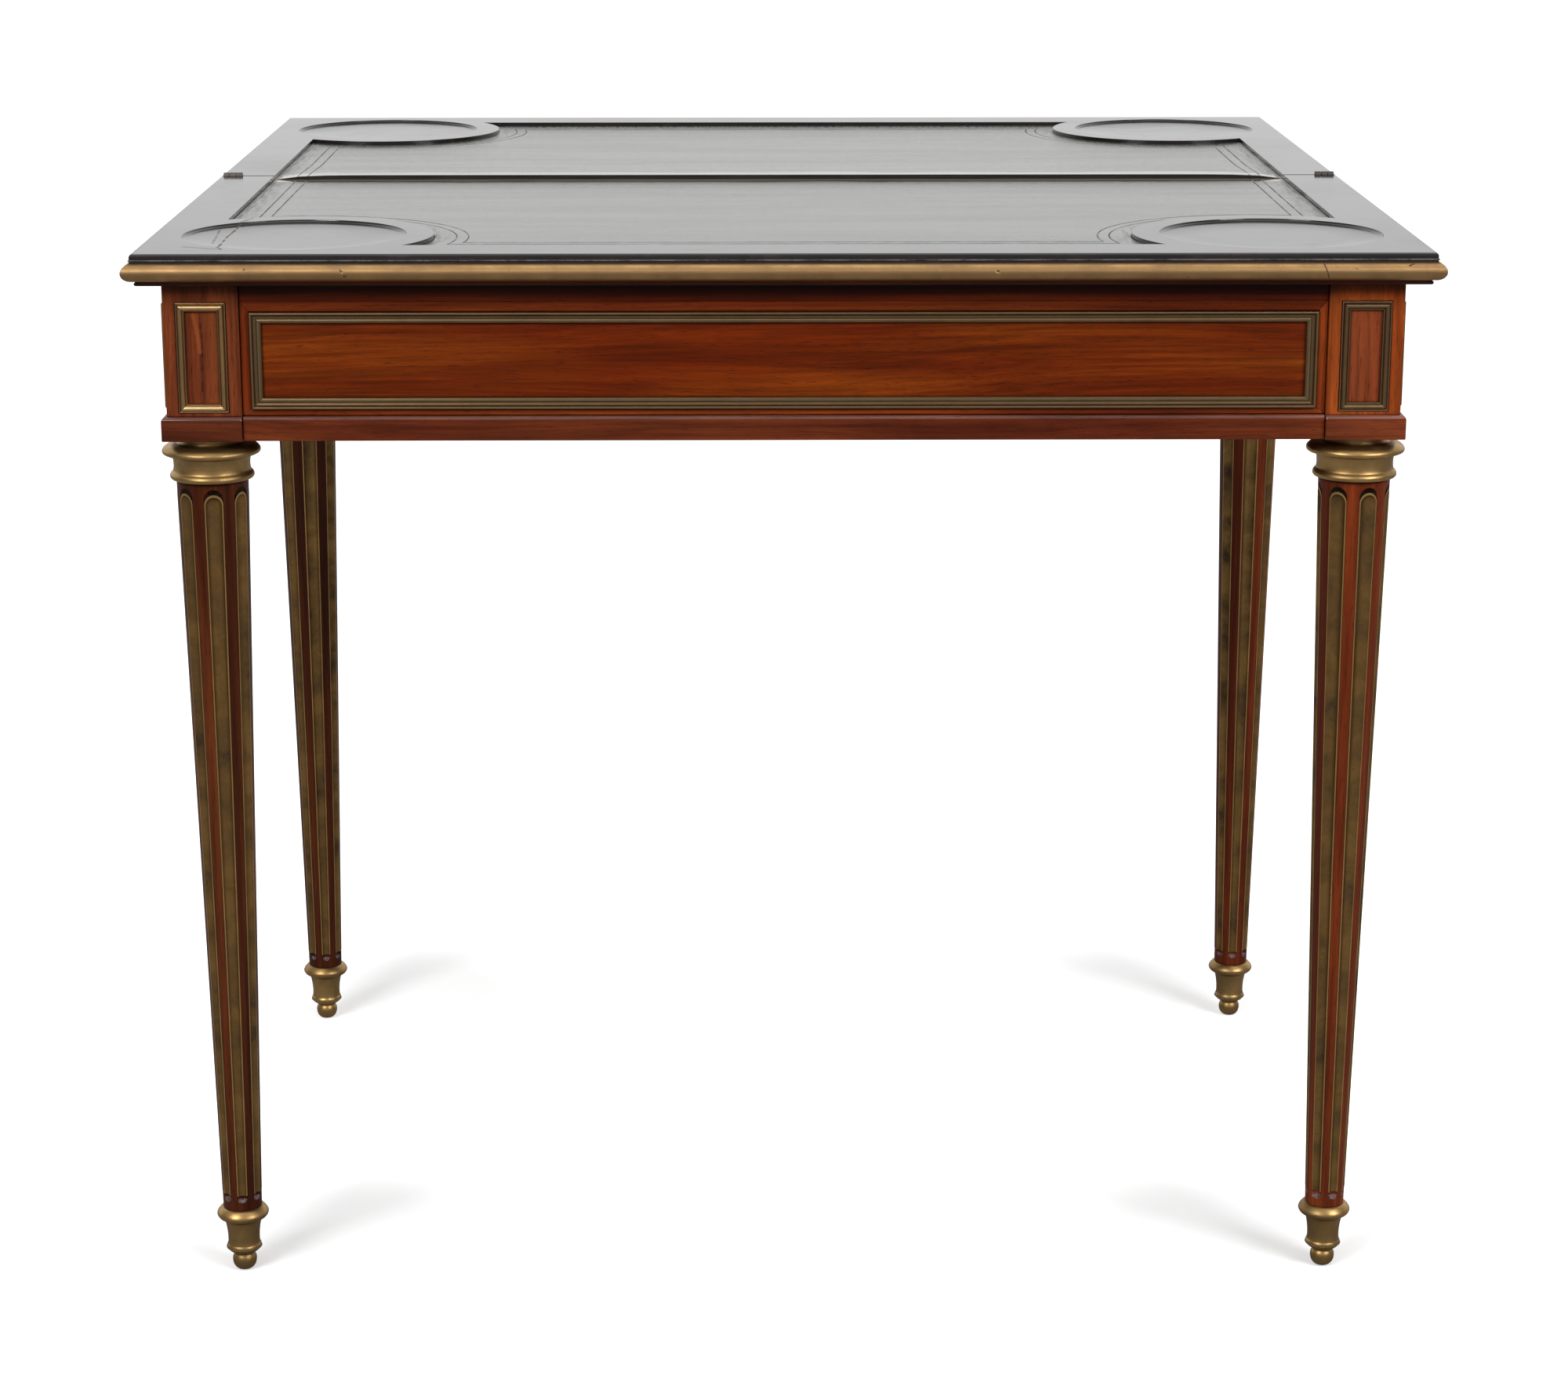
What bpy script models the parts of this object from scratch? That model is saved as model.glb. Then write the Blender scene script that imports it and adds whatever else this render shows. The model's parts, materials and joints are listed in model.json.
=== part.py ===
"""Fold-over games table with brass mounts, modelled open as an assembly of its real pieces.

Lengths are in metres, +Z is up and +Y points to the back of the table. The origin lies on the
floor under the middle of the joint between the two leaves. The front leaf, its frame and the two
front legs are fixed. The rear leaf folds over on two hinges, and the rear frame with the two rear
legs slides in under the front leaf.
"""

import math

import bmesh
import bpy
from mathutils import Matrix, Vector

# Overall sizes of the open table
OPEN_WIDTH = 0.890
LEAF_DEPTH = 0.445
TABLE_HEIGHT = 0.752
TOP_OVERHANG = 0.0235

# Clearance between neighbouring pieces, and how far a cutter runs past the piece it cuts
FIT_GAP = 0.0003
OVERRUN = 0.002

# Leaves
LEAF_THICKNESS = 0.020
BORDER_THICKNESS = 0.0045
BORDER_SETBACK = 0.0067
BOARD_SETBACK = 0.0078
SIDE_BORDER_WIDTH = 0.041
FRONT_BORDER_WIDTH = 0.043
LEATHER_DROP = 0.003
WELL_RADIUS = 0.0775
WELL_DEPTH = 0.003
ROUNDEL_RADIUS = 0.097
ROUNDEL_OFFSET = 0.098
TOP_CORNER_RADIUS = 0.0045
NOSING_HEIGHT = 0.0127
JOINT_GAP = 0.0003
WELL_SEGMENTS = 36
ROUNDEL_SEGMENTS = 44
CORNER_STEPS = 3
NOSING_STEPS = 8

# Hinges, let into the meeting edges of the leaves
HINGE_RISE = 0.0002
HINGE_LENGTH = 0.015
HINGE_EDGE_MARGIN = 0.0002
KNUCKLE_RADIUS = 0.0024
KNUCKLE_COUNT = 3
HINGE_PIN_RADIUS = 0.0009
PLATE_THICKNESS = 0.0014
PLATE_HEIGHT = 0.0126
HINGE_SCREW_LENGTH = 0.011
HINGE_SCREW_RADIUS = 0.0011
HINGE_SCREW_HEAD_RADIUS = 0.0021
HINGE_SCREW_HEAD_HEIGHT = 0.0006
HINGE_SCREW_SPACING = 0.0064
KNUCKLE_SEGMENTS = 12
PIN_SEGMENTS = 12
SCREW_SEGMENTS = 12

# Frieze: rails, corner blocks and the plinth band at the foot of both
FRIEZE_HEIGHT = 0.0933
BLOCK_SIDE = 0.0514
RAIL_THICKNESS = 0.020
RAIL_SETBACK = 0.003
PLINTH_HEIGHT = 0.0172
PLINTH_REACH = 0.0037

# Sunk panels and the brass frames that lie in them
PANEL_MARGIN = 0.0066
PANEL_LIFT = 0.0043
PANEL_HEIGHT = 0.0683
PANEL_SINK = 0.002
PANEL_MOULDING_WIDTH = 0.009
PANEL_MOULDING_HEIGHT = 0.0047
BLOCK_PANEL_WIDTH = 0.034
BLOCK_PANEL_LIFT = 0.0024
BLOCK_PANEL_HEIGHT = 0.0774
BLOCK_PANEL_SINK = 0.0015
BLOCK_MOULDING_WIDTH = 0.006
BLOCK_MOULDING_HEIGHT = 0.0038
# Section of the frame moulding: share of its width from the outer edge, share of its height
MOULDING_SECTION_SHARES = (
    (0.0, 0.0), (1.0, 0.0), (1.0, 0.32), (0.93, 0.49), (0.84, 0.55),
    (0.61, 0.55), (0.29, 0.79), (0.20, 1.0), (0.07, 1.0), (0.0, 0.83),
)

# Sliding rear frame
SLIDE_TRAVEL = 0.189
SLIDE_CLEARANCE = 0.003
BEARER_THICKNESS = 0.020
BEARER_HEIGHT = 0.050
BEARER_TOP_DROP = 0.032
BEARER_BLOCK_GAP = 0.0011
TONGUE_REACH = 0.0074
TONGUE_HEIGHT = 0.0114
TONGUE_REAR_MARGIN = 0.055
STRETCHER_THICKNESS = 0.020
STRETCHER_RISE = 0.010
CROSS_RAIL_THICKNESS = 0.020
CROSS_RAIL_HEIGHT = 0.030

# Screws that hold the front leaf down on the front rail and the cross rail
TOP_SCREW_OFFSET = 0.200
TOP_SCREW_RUN = 0.027
TOP_SCREW_GRIP = 0.009
TOP_SCREW_RADIUS = 0.0016
TOP_SCREW_HEAD_RADIUS = 0.0036
TOP_SCREW_HEAD_HEIGHT = 0.002
TOP_SCREW_TILT_DEG = 12.0
TOP_SCREW_POCKET_RUN = 0.045

# Legs
SHAFT_TOP_RADIUS = 0.02475
SHAFT_FOOT_RADIUS = 0.0139
TENON_RADIUS = 0.011
TENON_IN_BLOCK = 0.040
FOOT_TENON_RADIUS = 0.007
FOOT_TENON_LENGTH = 0.018
SHAFT_SEGMENTS = 42
TENON_SEGMENTS = 16
FLUTE_COUNT = 7
FLUTE_HALF_ANGLE_DEG = 15.75
FLUTE_DEPTH_SHARE = 0.186
FLUTE_TOP_MARGIN = 0.0033
FLUTE_FOOT_MARGIN = 0.0057
FLUTE_SEGMENTS = 16
FLUTE_END_STEPS = 2
# Direction of one flute on each leg, in degrees about +Z from +X
FLUTE_TURNS_DEG = {
    "front_left": -81.5,
    "front_right": -73.7,
    "rear_left": -79.5,
    "rear_right": -91.0,
}

# Brass capital: share of its largest radius, share of its height
CAPITAL_RADIUS = 0.0339
CAPITAL_HEIGHT = 0.0306
CAPITAL_SEGMENTS = 20
CAPITAL_OUTLINE_SHARES = (
    (0.634, 1.0), (0.643, 0.912), (0.693, 0.840), (0.826, 0.810), (0.929, 0.771),
    (0.988, 0.709), (1.0, 0.663), (0.985, 0.614), (0.900, 0.588), (0.814, 0.562),
    (0.782, 0.438), (0.776, 0.307), (0.794, 0.203), (0.832, 0.163), (0.853, 0.092),
    (0.835, 0.033), (0.743, 0.0),
)

# Brass sabot with its ball foot: share of the flange radius, share of the height
SABOT_RADIUS = 0.0187
SABOT_HEIGHT = 0.0495
SABOT_SEGMENTS = 16
SABOT_OUTLINE_SHARES = (
    (0.760, 1.0), (0.866, 0.974), (0.963, 0.933), (1.0, 0.897), (0.968, 0.857),
    (0.866, 0.820), (0.749, 0.796), (0.690, 0.752), (0.647, 0.667), (0.615, 0.556),
    (0.615, 0.455), (0.642, 0.402), (0.668, 0.376), (0.647, 0.343), (0.556, 0.299),
    (0.422, 0.263), (0.396, 0.246), (0.439, 0.214), (0.471, 0.168), (0.449, 0.105),
    (0.374, 0.053), (0.214, 0.0),
)

# Colour, roughness and metallic value of each finish
MAHOGANY = ((0.165, 0.030, 0.010, 1.0), 0.32, 0.0)
INNER_WOOD = ((0.240, 0.120, 0.055, 1.0), 0.60, 0.0)
LACQUER = ((0.012, 0.009, 0.009, 1.0), 0.12, 0.0)
LEATHER = ((0.080, 0.095, 0.075, 1.0), 0.40, 0.0)
BRASS = ((0.560, 0.370, 0.130, 1.0), 0.30, 1.0)
STEEL = ((0.350, 0.340, 0.330, 1.0), 0.40, 1.0)

# Heights
LEAF_UNDERSIDE = TABLE_HEIGHT - LEAF_THICKNESS
BORDER_BOTTOM = TABLE_HEIGHT - BORDER_THICKNESS
BOARD_TOP = BORDER_BOTTOM - FIT_GAP
FRIEZE_TOP = LEAF_UNDERSIDE - FIT_GAP
FRIEZE_BOTTOM = LEAF_UNDERSIDE - FRIEZE_HEIGHT
PLINTH_TOP = FRIEZE_BOTTOM - FIT_GAP
PLINTH_BOTTOM = FRIEZE_BOTTOM - PLINTH_HEIGHT
PANEL_MIDDLE = FRIEZE_BOTTOM + PANEL_LIFT + PANEL_HEIGHT / 2
BLOCK_PANEL_MIDDLE = FRIEZE_BOTTOM + BLOCK_PANEL_LIFT + BLOCK_PANEL_HEIGHT / 2
CAPITAL_TOP = PLINTH_BOTTOM - FIT_GAP
CAPITAL_BOTTOM = CAPITAL_TOP - CAPITAL_HEIGHT
SHAFT_TOP = CAPITAL_BOTTOM - FIT_GAP
SHAFT_FOOT = SABOT_HEIGHT + FIT_GAP
FOOT_TENON_END = SHAFT_FOOT - FOOT_TENON_LENGTH
BEARER_TOP = LEAF_UNDERSIDE - BEARER_TOP_DROP
BEARER_BOTTOM = BEARER_TOP - BEARER_HEIGHT
TONGUE_MIDDLE = (BEARER_TOP + BEARER_BOTTOM) / 2
STRETCHER_TOP = BEARER_TOP + STRETCHER_RISE
CROSS_RAIL_BOTTOM = LEAF_UNDERSIDE - CROSS_RAIL_HEIGHT
HINGE_AXIS_HEIGHT = TABLE_HEIGHT + HINGE_RISE
PLATE_TOP = HINGE_AXIS_HEIGHT - KNUCKLE_RADIUS - FIT_GAP
PLATE_BOTTOM = PLATE_TOP - PLATE_HEIGHT
PLATE_MIDDLE = (PLATE_TOP + PLATE_BOTTOM) / 2

# Places across the table, measured from its middle
BORDER_EDGE = OPEN_WIDTH / 2 - BORDER_SETBACK
BOARD_EDGE = OPEN_WIDTH / 2 - BOARD_SETBACK
LEATHER_SIDE = BORDER_EDGE - SIDE_BORDER_WIDTH
ROUNDEL_X = BORDER_EDGE - ROUNDEL_OFFSET
HINGE_OUTER = BOARD_EDGE - HINGE_EDGE_MARGIN
HINGE_INNER = HINGE_OUTER - HINGE_LENGTH
HINGE_MIDDLE = (HINGE_OUTER + HINGE_INNER) / 2
BLOCK_OUTER = OPEN_WIDTH / 2 - TOP_OVERHANG
BLOCK_INNER = BLOCK_OUTER - BLOCK_SIDE
LEG_SIDE = BLOCK_OUTER - BLOCK_SIDE / 2
SIDE_RAIL_FACE = BLOCK_OUTER - RAIL_SETBACK
SIDE_RAIL_INNER = SIDE_RAIL_FACE - RAIL_THICKNESS
BEARER_OUTER = BLOCK_INNER - BEARER_BLOCK_GAP
BEARER_INNER = BEARER_OUTER - BEARER_THICKNESS
RAIL_SPAN = 2 * (BLOCK_INNER - FIT_GAP)
LONG_PANEL_WIDTH = 2 * (BLOCK_INNER - PANEL_MARGIN)

# Places from front to back
LEAF_JOINT_Y = -JOINT_GAP / 2
BOARD_FRONT = BOARD_SETBACK - LEAF_DEPTH
BORDER_FRONT = BORDER_SETBACK - LEAF_DEPTH
LEATHER_FRONT = BORDER_FRONT + FRONT_BORDER_WIDTH
ROUNDEL_Y = BORDER_FRONT + ROUNDEL_OFFSET
FRONT_LEG_Y = TOP_OVERHANG + BLOCK_SIDE / 2 - LEAF_DEPTH
REAR_LEG_CLOSED_Y = -TOP_OVERHANG - BLOCK_SIDE / 2
REAR_LEG_Y = REAR_LEG_CLOSED_Y + SLIDE_TRAVEL
FRONT_RAIL_FACE = FRONT_LEG_Y - BLOCK_SIDE / 2 + RAIL_SETBACK
FRONT_RAIL_INNER = FRONT_RAIL_FACE + RAIL_THICKNESS
SIDE_RAIL_FRONT = FRONT_LEG_Y + BLOCK_SIDE / 2 + FIT_GAP
SIDE_RAIL_REAR = REAR_LEG_CLOSED_Y - BLOCK_SIDE / 2 - FIT_GAP
SIDE_RAIL_MIDDLE = (SIDE_RAIL_FRONT + SIDE_RAIL_REAR) / 2
SIDE_PANEL_WIDTH = SIDE_RAIL_REAR - SIDE_RAIL_FRONT - 2 * PANEL_MARGIN
REAR_RAIL_FACE = REAR_LEG_Y + BLOCK_SIDE / 2 - RAIL_SETBACK
REAR_RAIL_INNER = REAR_RAIL_FACE - RAIL_THICKNESS
STRETCHER_FRONT = FRONT_RAIL_INNER + SLIDE_CLEARANCE + SLIDE_TRAVEL
STRETCHER_REAR = STRETCHER_FRONT + STRETCHER_THICKNESS
BEARER_FRONT = STRETCHER_REAR + FIT_GAP
BEARER_REAR = REAR_RAIL_INNER - FIT_GAP
TONGUE_FRONT = max(SIDE_RAIL_FRONT + SLIDE_CLEARANCE + SLIDE_TRAVEL, BEARER_FRONT)
TONGUE_REAR = REAR_LEG_Y - TONGUE_REAR_MARGIN
CROSS_RAIL_FRONT = STRETCHER_REAR + FIT_GAP
CROSS_RAIL_REAR = CROSS_RAIL_FRONT + CROSS_RAIL_THICKNESS

LEG_PLACES = {
    "front_left": (-LEG_SIDE, FRONT_LEG_Y),
    "front_right": (LEG_SIDE, FRONT_LEG_Y),
    "rear_left": (-LEG_SIDE, REAR_LEG_Y),
    "rear_right": (LEG_SIDE, REAR_LEG_Y),
}
# Quarter turns that bring the front left corner's two outer faces to each corner
CORNER_QUARTER_TURNS = {"front_left": 0, "front_right": 1, "rear_right": 2, "rear_left": 3}

SIDES = {"left": -1, "right": 1}
MERGE_DISTANCE = 0.00001
SMOOTH_ANGLE = math.radians(35)
QUARTER_TURN = math.pi / 2
HALF_TURN = math.pi
FULL_TURN = 2 * math.pi


def start_scene():
    """Empties the file and makes the two collections."""
    for old in list(bpy.data.objects):
        bpy.data.objects.remove(old, do_unlink=True)
    made = {}
    for name in ("games_table", "cutters"):
        made[name] = bpy.data.collections.new(name)
        bpy.context.scene.collection.children.link(made[name])
    return made["games_table"], made["cutters"]


PARTS, CUTTERS = start_scene()


def new_object(name, data):
    """Links an object to the table's collection and gives it back."""
    made = bpy.data.objects.new(name, data)
    PARTS.objects.link(made)
    return made


def as_cutter(piece):
    """Moves a piece to the cutters, out of the render."""
    PARTS.objects.unlink(piece)
    CUTTERS.objects.link(piece)
    piece.hide_render = True
    piece.display_type = "WIRE"
    return piece


def mesh_from(name, shape, place):
    """Turns a bmesh into a named mesh, moved by a matrix, with its faces pointing out."""
    bmesh.ops.transform(shape, matrix=place, verts=shape.verts)
    bmesh.ops.recalc_face_normals(shape, faces=shape.faces)
    mesh = bpy.data.meshes.new(name)
    shape.to_mesh(mesh)
    shape.free()
    return mesh


def box(name, low, high):
    """A box between two opposite corners, given in any order."""
    low, high = Vector(low), Vector(high)
    shape = bmesh.new()
    bmesh.ops.create_cube(shape, size=1)
    place = Matrix.Translation((low + high) / 2) @ Matrix.Diagonal(high - low).to_4x4()
    return new_object(name, mesh_from(name, shape, place))


def rod(name, radius, start, end, segments):
    """A closed round rod between two points."""
    start, end = Vector(start), Vector(end)
    along = end - start
    shape = bmesh.new()
    bmesh.ops.create_cone(
        shape, cap_ends=True, segments=segments, radius1=radius, radius2=radius, depth=along.length
    )
    turn = Vector((0, 0, 1)).rotation_difference(along).to_matrix().to_4x4()
    return new_object(name, mesh_from(name, shape, Matrix.Translation((start + end) / 2) @ turn))


def settled(piece):
    """Applies a piece's modifiers, so that its mesh can be shared by copies."""
    bpy.context.view_layer.update()
    graph = bpy.context.evaluated_depsgraph_get()
    mesh = bpy.data.meshes.new_from_object(piece.evaluated_get(graph))
    mesh.name = piece.name
    piece.modifiers.clear()
    piece.data = mesh
    return piece


def turned(name, outline, segments):
    """A lathe shape about Z from (radius, height) points, read down its outer side."""
    mesh = bpy.data.meshes.new(name)
    points = [(radius, 0, height) for radius, height in outline]
    steps = [(index, index + 1) for index in range(len(points) - 1)]
    mesh.from_pydata(points, steps, [])
    piece = new_object(name, mesh)
    screw = piece.modifiers.new("lathe", "SCREW")
    screw.axis = "Z"
    screw.angle = FULL_TURN
    screw.steps = segments
    screw.render_steps = segments
    screw.use_merge_vertices = True
    screw.merge_threshold = MERGE_DISTANCE
    screw.use_smooth_shade = False
    return settled(piece)


def flat_curve(name, points):
    """A closed flat outline as a poly curve."""
    data = bpy.data.curves.new(name, "CURVE")
    data.dimensions = "2D"
    line = data.splines.new("POLY")
    line.points.add(len(points) - 1)
    for point, (x, y) in zip(line.points, points):
        point.co = (x, y, 0, 1)
    line.use_cyclic_u = True
    return new_object(name, data)


def mesh_of_curve(name, curve, place):
    """Makes a curve a closed mesh piece, moved by a matrix, and removes the curve."""
    bpy.context.view_layer.update()
    graph = bpy.context.evaluated_depsgraph_get()
    mesh = bpy.data.meshes.new_from_object(curve.evaluated_get(graph))
    shape = bmesh.new()
    shape.from_mesh(mesh)
    bmesh.ops.remove_doubles(shape, verts=shape.verts, dist=MERGE_DISTANCE)
    bpy.data.objects.remove(curve, do_unlink=True)
    return new_object(name, mesh_from(name, shape, place))


def plate(name, outline, low, high):
    """A flat outline in the XY plane, thickened from one height to another."""
    curve = flat_curve(name + "_outline", outline)
    curve.data.fill_mode = "BOTH"
    curve.data.extrude = (high - low) / 2
    return mesh_of_curve(name, curve, Matrix.Translation((0, 0, (low + high) / 2)))


def rectangle_path(width, height):
    """The corners of a rectangle about the origin, anticlockwise."""
    x, y = width / 2, height / 2
    return [(-x, -y), (x, -y), (x, y), (-x, y)]


def moulding(name, path, section, place):
    """A moulding with mitred corners: a section drawn round a path, measured inwards and up."""
    curve = flat_curve(name + "_path", path)
    profile = flat_curve(name + "_section", section)
    curve.data.fill_mode = "NONE"
    curve.data.bevel_mode = "OBJECT"
    curve.data.bevel_object = profile
    piece = mesh_of_curve(name, curve, place)
    bpy.data.objects.remove(profile, do_unlink=True)
    return piece


def combine(piece, other, operation):
    """Adds a Boolean between a piece and another solid."""
    change = piece.modifiers.new(operation.lower(), "BOOLEAN")
    change.operation = operation
    change.solver = "EXACT"
    change.object = as_cutter(other)
    return piece


def cut(piece, *cutters):
    """Cuts each cutter out of a piece."""
    for cutter in cutters:
        combine(piece, cutter, "DIFFERENCE")
    return piece


def copied(name, source, matrix):
    """A copy of a piece with its own place and the same mesh."""
    piece = new_object(name, source.data)
    piece.matrix_world = matrix
    return piece


def finished(piece, finish, holder=None):
    """Gives a piece its own material, smooth round faces and the empty it moves with."""
    colour, roughness, metallic = finish
    material = bpy.data.materials.new(piece.name)
    material.use_nodes = True
    shader = material.node_tree.nodes["Principled BSDF"]
    shader.inputs["Base Color"].default_value = colour
    shader.inputs["Roughness"].default_value = roughness
    shader.inputs["Metallic"].default_value = metallic
    piece.data.shade_smooth()
    piece.data.set_sharp_from_angle(angle=SMOOTH_ANGLE)
    if not piece.data.materials:
        piece.data.materials.append(material)
    slot = piece.material_slots[0]
    slot.link = "OBJECT"
    slot.material = material
    if holder is not None:
        piece.parent = holder
        piece.matrix_parent_inverse = holder.matrix_world.inverted()
    return piece


def joint_empty(name, place):
    """An empty on a joint's axis, which carries the pieces that move."""
    holder = new_object(name, None)
    holder.location = place
    bpy.context.view_layer.update()
    return holder


def remove_patterns(*patterns):
    """Removes pieces that were only made to be copied."""
    for pattern in patterns:
        bpy.data.objects.remove(pattern, do_unlink=True)


# The front leaf, from which the rear leaf is turned half round

def leaf_outline(edge, front):
    """A leaf's outline with its two front corners rounded, anticlockwise from the back left."""
    points = [(-edge, LEAF_JOINT_Y)]
    for sign, start in ((-1, HALF_TURN), (1, HALF_TURN + QUARTER_TURN)):
        for step in range(CORNER_STEPS + 1):
            angle = start + QUARTER_TURN * step / CORNER_STEPS
            x = sign * (edge - TOP_CORNER_RADIUS) + TOP_CORNER_RADIUS * math.cos(angle)
            y = front + TOP_CORNER_RADIUS + TOP_CORNER_RADIUS * math.sin(angle)
            points.append((x, y))
    points.append((edge, LEAF_JOINT_Y))
    return points


def leather_field(name, clearance, low, high):
    """The leather's shape as a solid: a rectangle less the two corner roundels."""
    side = LEATHER_SIDE - clearance
    field = box(name, (-side, LEATHER_FRONT + clearance, low), (side, LEAF_JOINT_Y, high))
    for sign in SIDES.values():
        start = (sign * ROUNDEL_X, ROUNDEL_Y, low - OVERRUN)
        end = (sign * ROUNDEL_X, ROUNDEL_Y, high + OVERRUN)
        cut(field, rod(name + "_roundel_cutter", ROUNDEL_RADIUS + clearance, start, end, ROUNDEL_SEGMENTS))
    return settled(field)


def hinge_pocket_cutters():
    """Room for the knuckles and, below them, for the plate, at both ends of the joint."""
    cutters = []
    for sign in SIDES.values():
        inner, outer = sign * (HINGE_INNER - FIT_GAP), sign * OPEN_WIDTH / 2
        front = LEAF_JOINT_Y - KNUCKLE_RADIUS - FIT_GAP
        top = TABLE_HEIGHT + OVERRUN
        cutters.append(box("knuckle_pocket", (inner, front, PLATE_TOP), (outer, OVERRUN, top)))
        front = LEAF_JOINT_Y - PLATE_THICKNESS - FIT_GAP
        bottom, top = PLATE_BOTTOM - FIT_GAP, PLATE_TOP + FIT_GAP
        cutters.append(box("plate_pocket", (inner, front, bottom), (outer, OVERRUN, top)))
    return cutters


def hinge_screw_heights():
    """Heights of the two screws in each hinge plate."""
    return [PLATE_MIDDLE - HINGE_SCREW_SPACING / 2, PLATE_MIDDLE + HINGE_SCREW_SPACING / 2]


def leaf_board():
    """The mahogany ground, with hinge pockets and screw holes in its meeting edge."""
    board = plate("front_leaf_board", leaf_outline(BOARD_EDGE, BOARD_FRONT), LEAF_UNDERSIDE, BOARD_TOP)
    cut(board, *hinge_pocket_cutters())
    hole_end = LEAF_JOINT_Y - HINGE_SCREW_LENGTH - FIT_GAP
    for sign in SIDES.values():
        for height in hinge_screw_heights():
            start = (sign * HINGE_MIDDLE, hole_end, height)
            end = (sign * HINGE_MIDDLE, OVERRUN, height)
            hole = rod("hinge_screw_hole", HINGE_SCREW_RADIUS + FIT_GAP, start, end, SCREW_SEGMENTS)
            cut(board, hole)
    return settled(board)


def leaf_border():
    """The raised border with a dished well in each rounded corner."""
    outline = leaf_outline(BORDER_EDGE, BORDER_FRONT)
    border = plate("front_leaf_border", outline, BORDER_BOTTOM, TABLE_HEIGHT)
    low, high = BORDER_BOTTOM - OVERRUN, TABLE_HEIGHT + OVERRUN
    edge_strip = box(
        "leather_edge_cutter",
        (-LEATHER_SIDE, LEAF_JOINT_Y - ROUNDEL_OFFSET, low),
        (LEATHER_SIDE, LEAF_JOINT_Y + OVERRUN, high),
    )
    cut(border, leather_field("leather_bed_cutter", 0, low, high), edge_strip)
    for sign in SIDES.values():
        start = (sign * ROUNDEL_X, ROUNDEL_Y, TABLE_HEIGHT - WELL_DEPTH)
        end = (sign * ROUNDEL_X, ROUNDEL_Y, high)
        cut(border, rod("well_cutter", WELL_RADIUS, start, end, WELL_SEGMENTS))
    return settled(cut(border, *hinge_pocket_cutters()))


def leaf_leather():
    """The leather, bedded on the board and sunk below the border."""
    return leather_field("front_leather", FIT_GAP, BORDER_BOTTOM, TABLE_HEIGHT - LEATHER_DROP)


def leaf_nosing():
    """The brass half-round along the leaf's three free edges."""
    reach = BOARD_SETBACK - FIT_GAP
    half_height = NOSING_HEIGHT / 2
    middle = BOARD_TOP - half_height
    section = []
    for step in range(NOSING_STEPS + 1):
        angle = QUARTER_TURN - HALF_TURN * step / NOSING_STEPS
        section.append((reach - reach * math.cos(angle), half_height * math.sin(angle)))
    path = rectangle_path(OPEN_WIDTH, 2 * LEAF_DEPTH)
    nosing = moulding("front_nosing", path, section, Matrix.Translation((0, 0, middle)))
    rear_half = box(
        "nosing_rear_cutter",
        (-OPEN_WIDTH, LEAF_JOINT_Y, middle - NOSING_HEIGHT),
        (OPEN_WIDTH, OPEN_WIDTH, middle + NOSING_HEIGHT),
    )
    return settled(cut(nosing, rear_half))


def make_leaves(leaf_holder):
    """Both leaves; only the front one is screwed to the frame."""
    half_turned = Matrix.Rotation(HALF_TURN, 4, "Z")
    board, border, leather, nosing = leaf_board(), leaf_border(), leaf_leather(), leaf_nosing()
    finished(copied("rear_leaf_board", board, half_turned), MAHOGANY, leaf_holder)
    finished(copied("rear_leaf_border", border, half_turned), LACQUER, leaf_holder)
    finished(copied("rear_leather", leather, half_turned), LEATHER, leaf_holder)
    finished(copied("rear_nosing", nosing, half_turned), BRASS, leaf_holder)
    for place in top_screw_places().values():
        low = place @ Vector((0, 0, TOP_SCREW_RUN - OVERRUN))
        high = place @ Vector((0, 0, TOP_SCREW_RUN + TOP_SCREW_GRIP + 2 * FIT_GAP))
        cut(board, rod("top_screw_hole", TOP_SCREW_RADIUS + FIT_GAP, low, high, SCREW_SEGMENTS))
    finished(settled(board), MAHOGANY)
    finished(border, LACQUER)
    finished(leather, LEATHER)
    finished(nosing, BRASS)


# Hinges, modelled on the right and in front, with the pin along X

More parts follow.
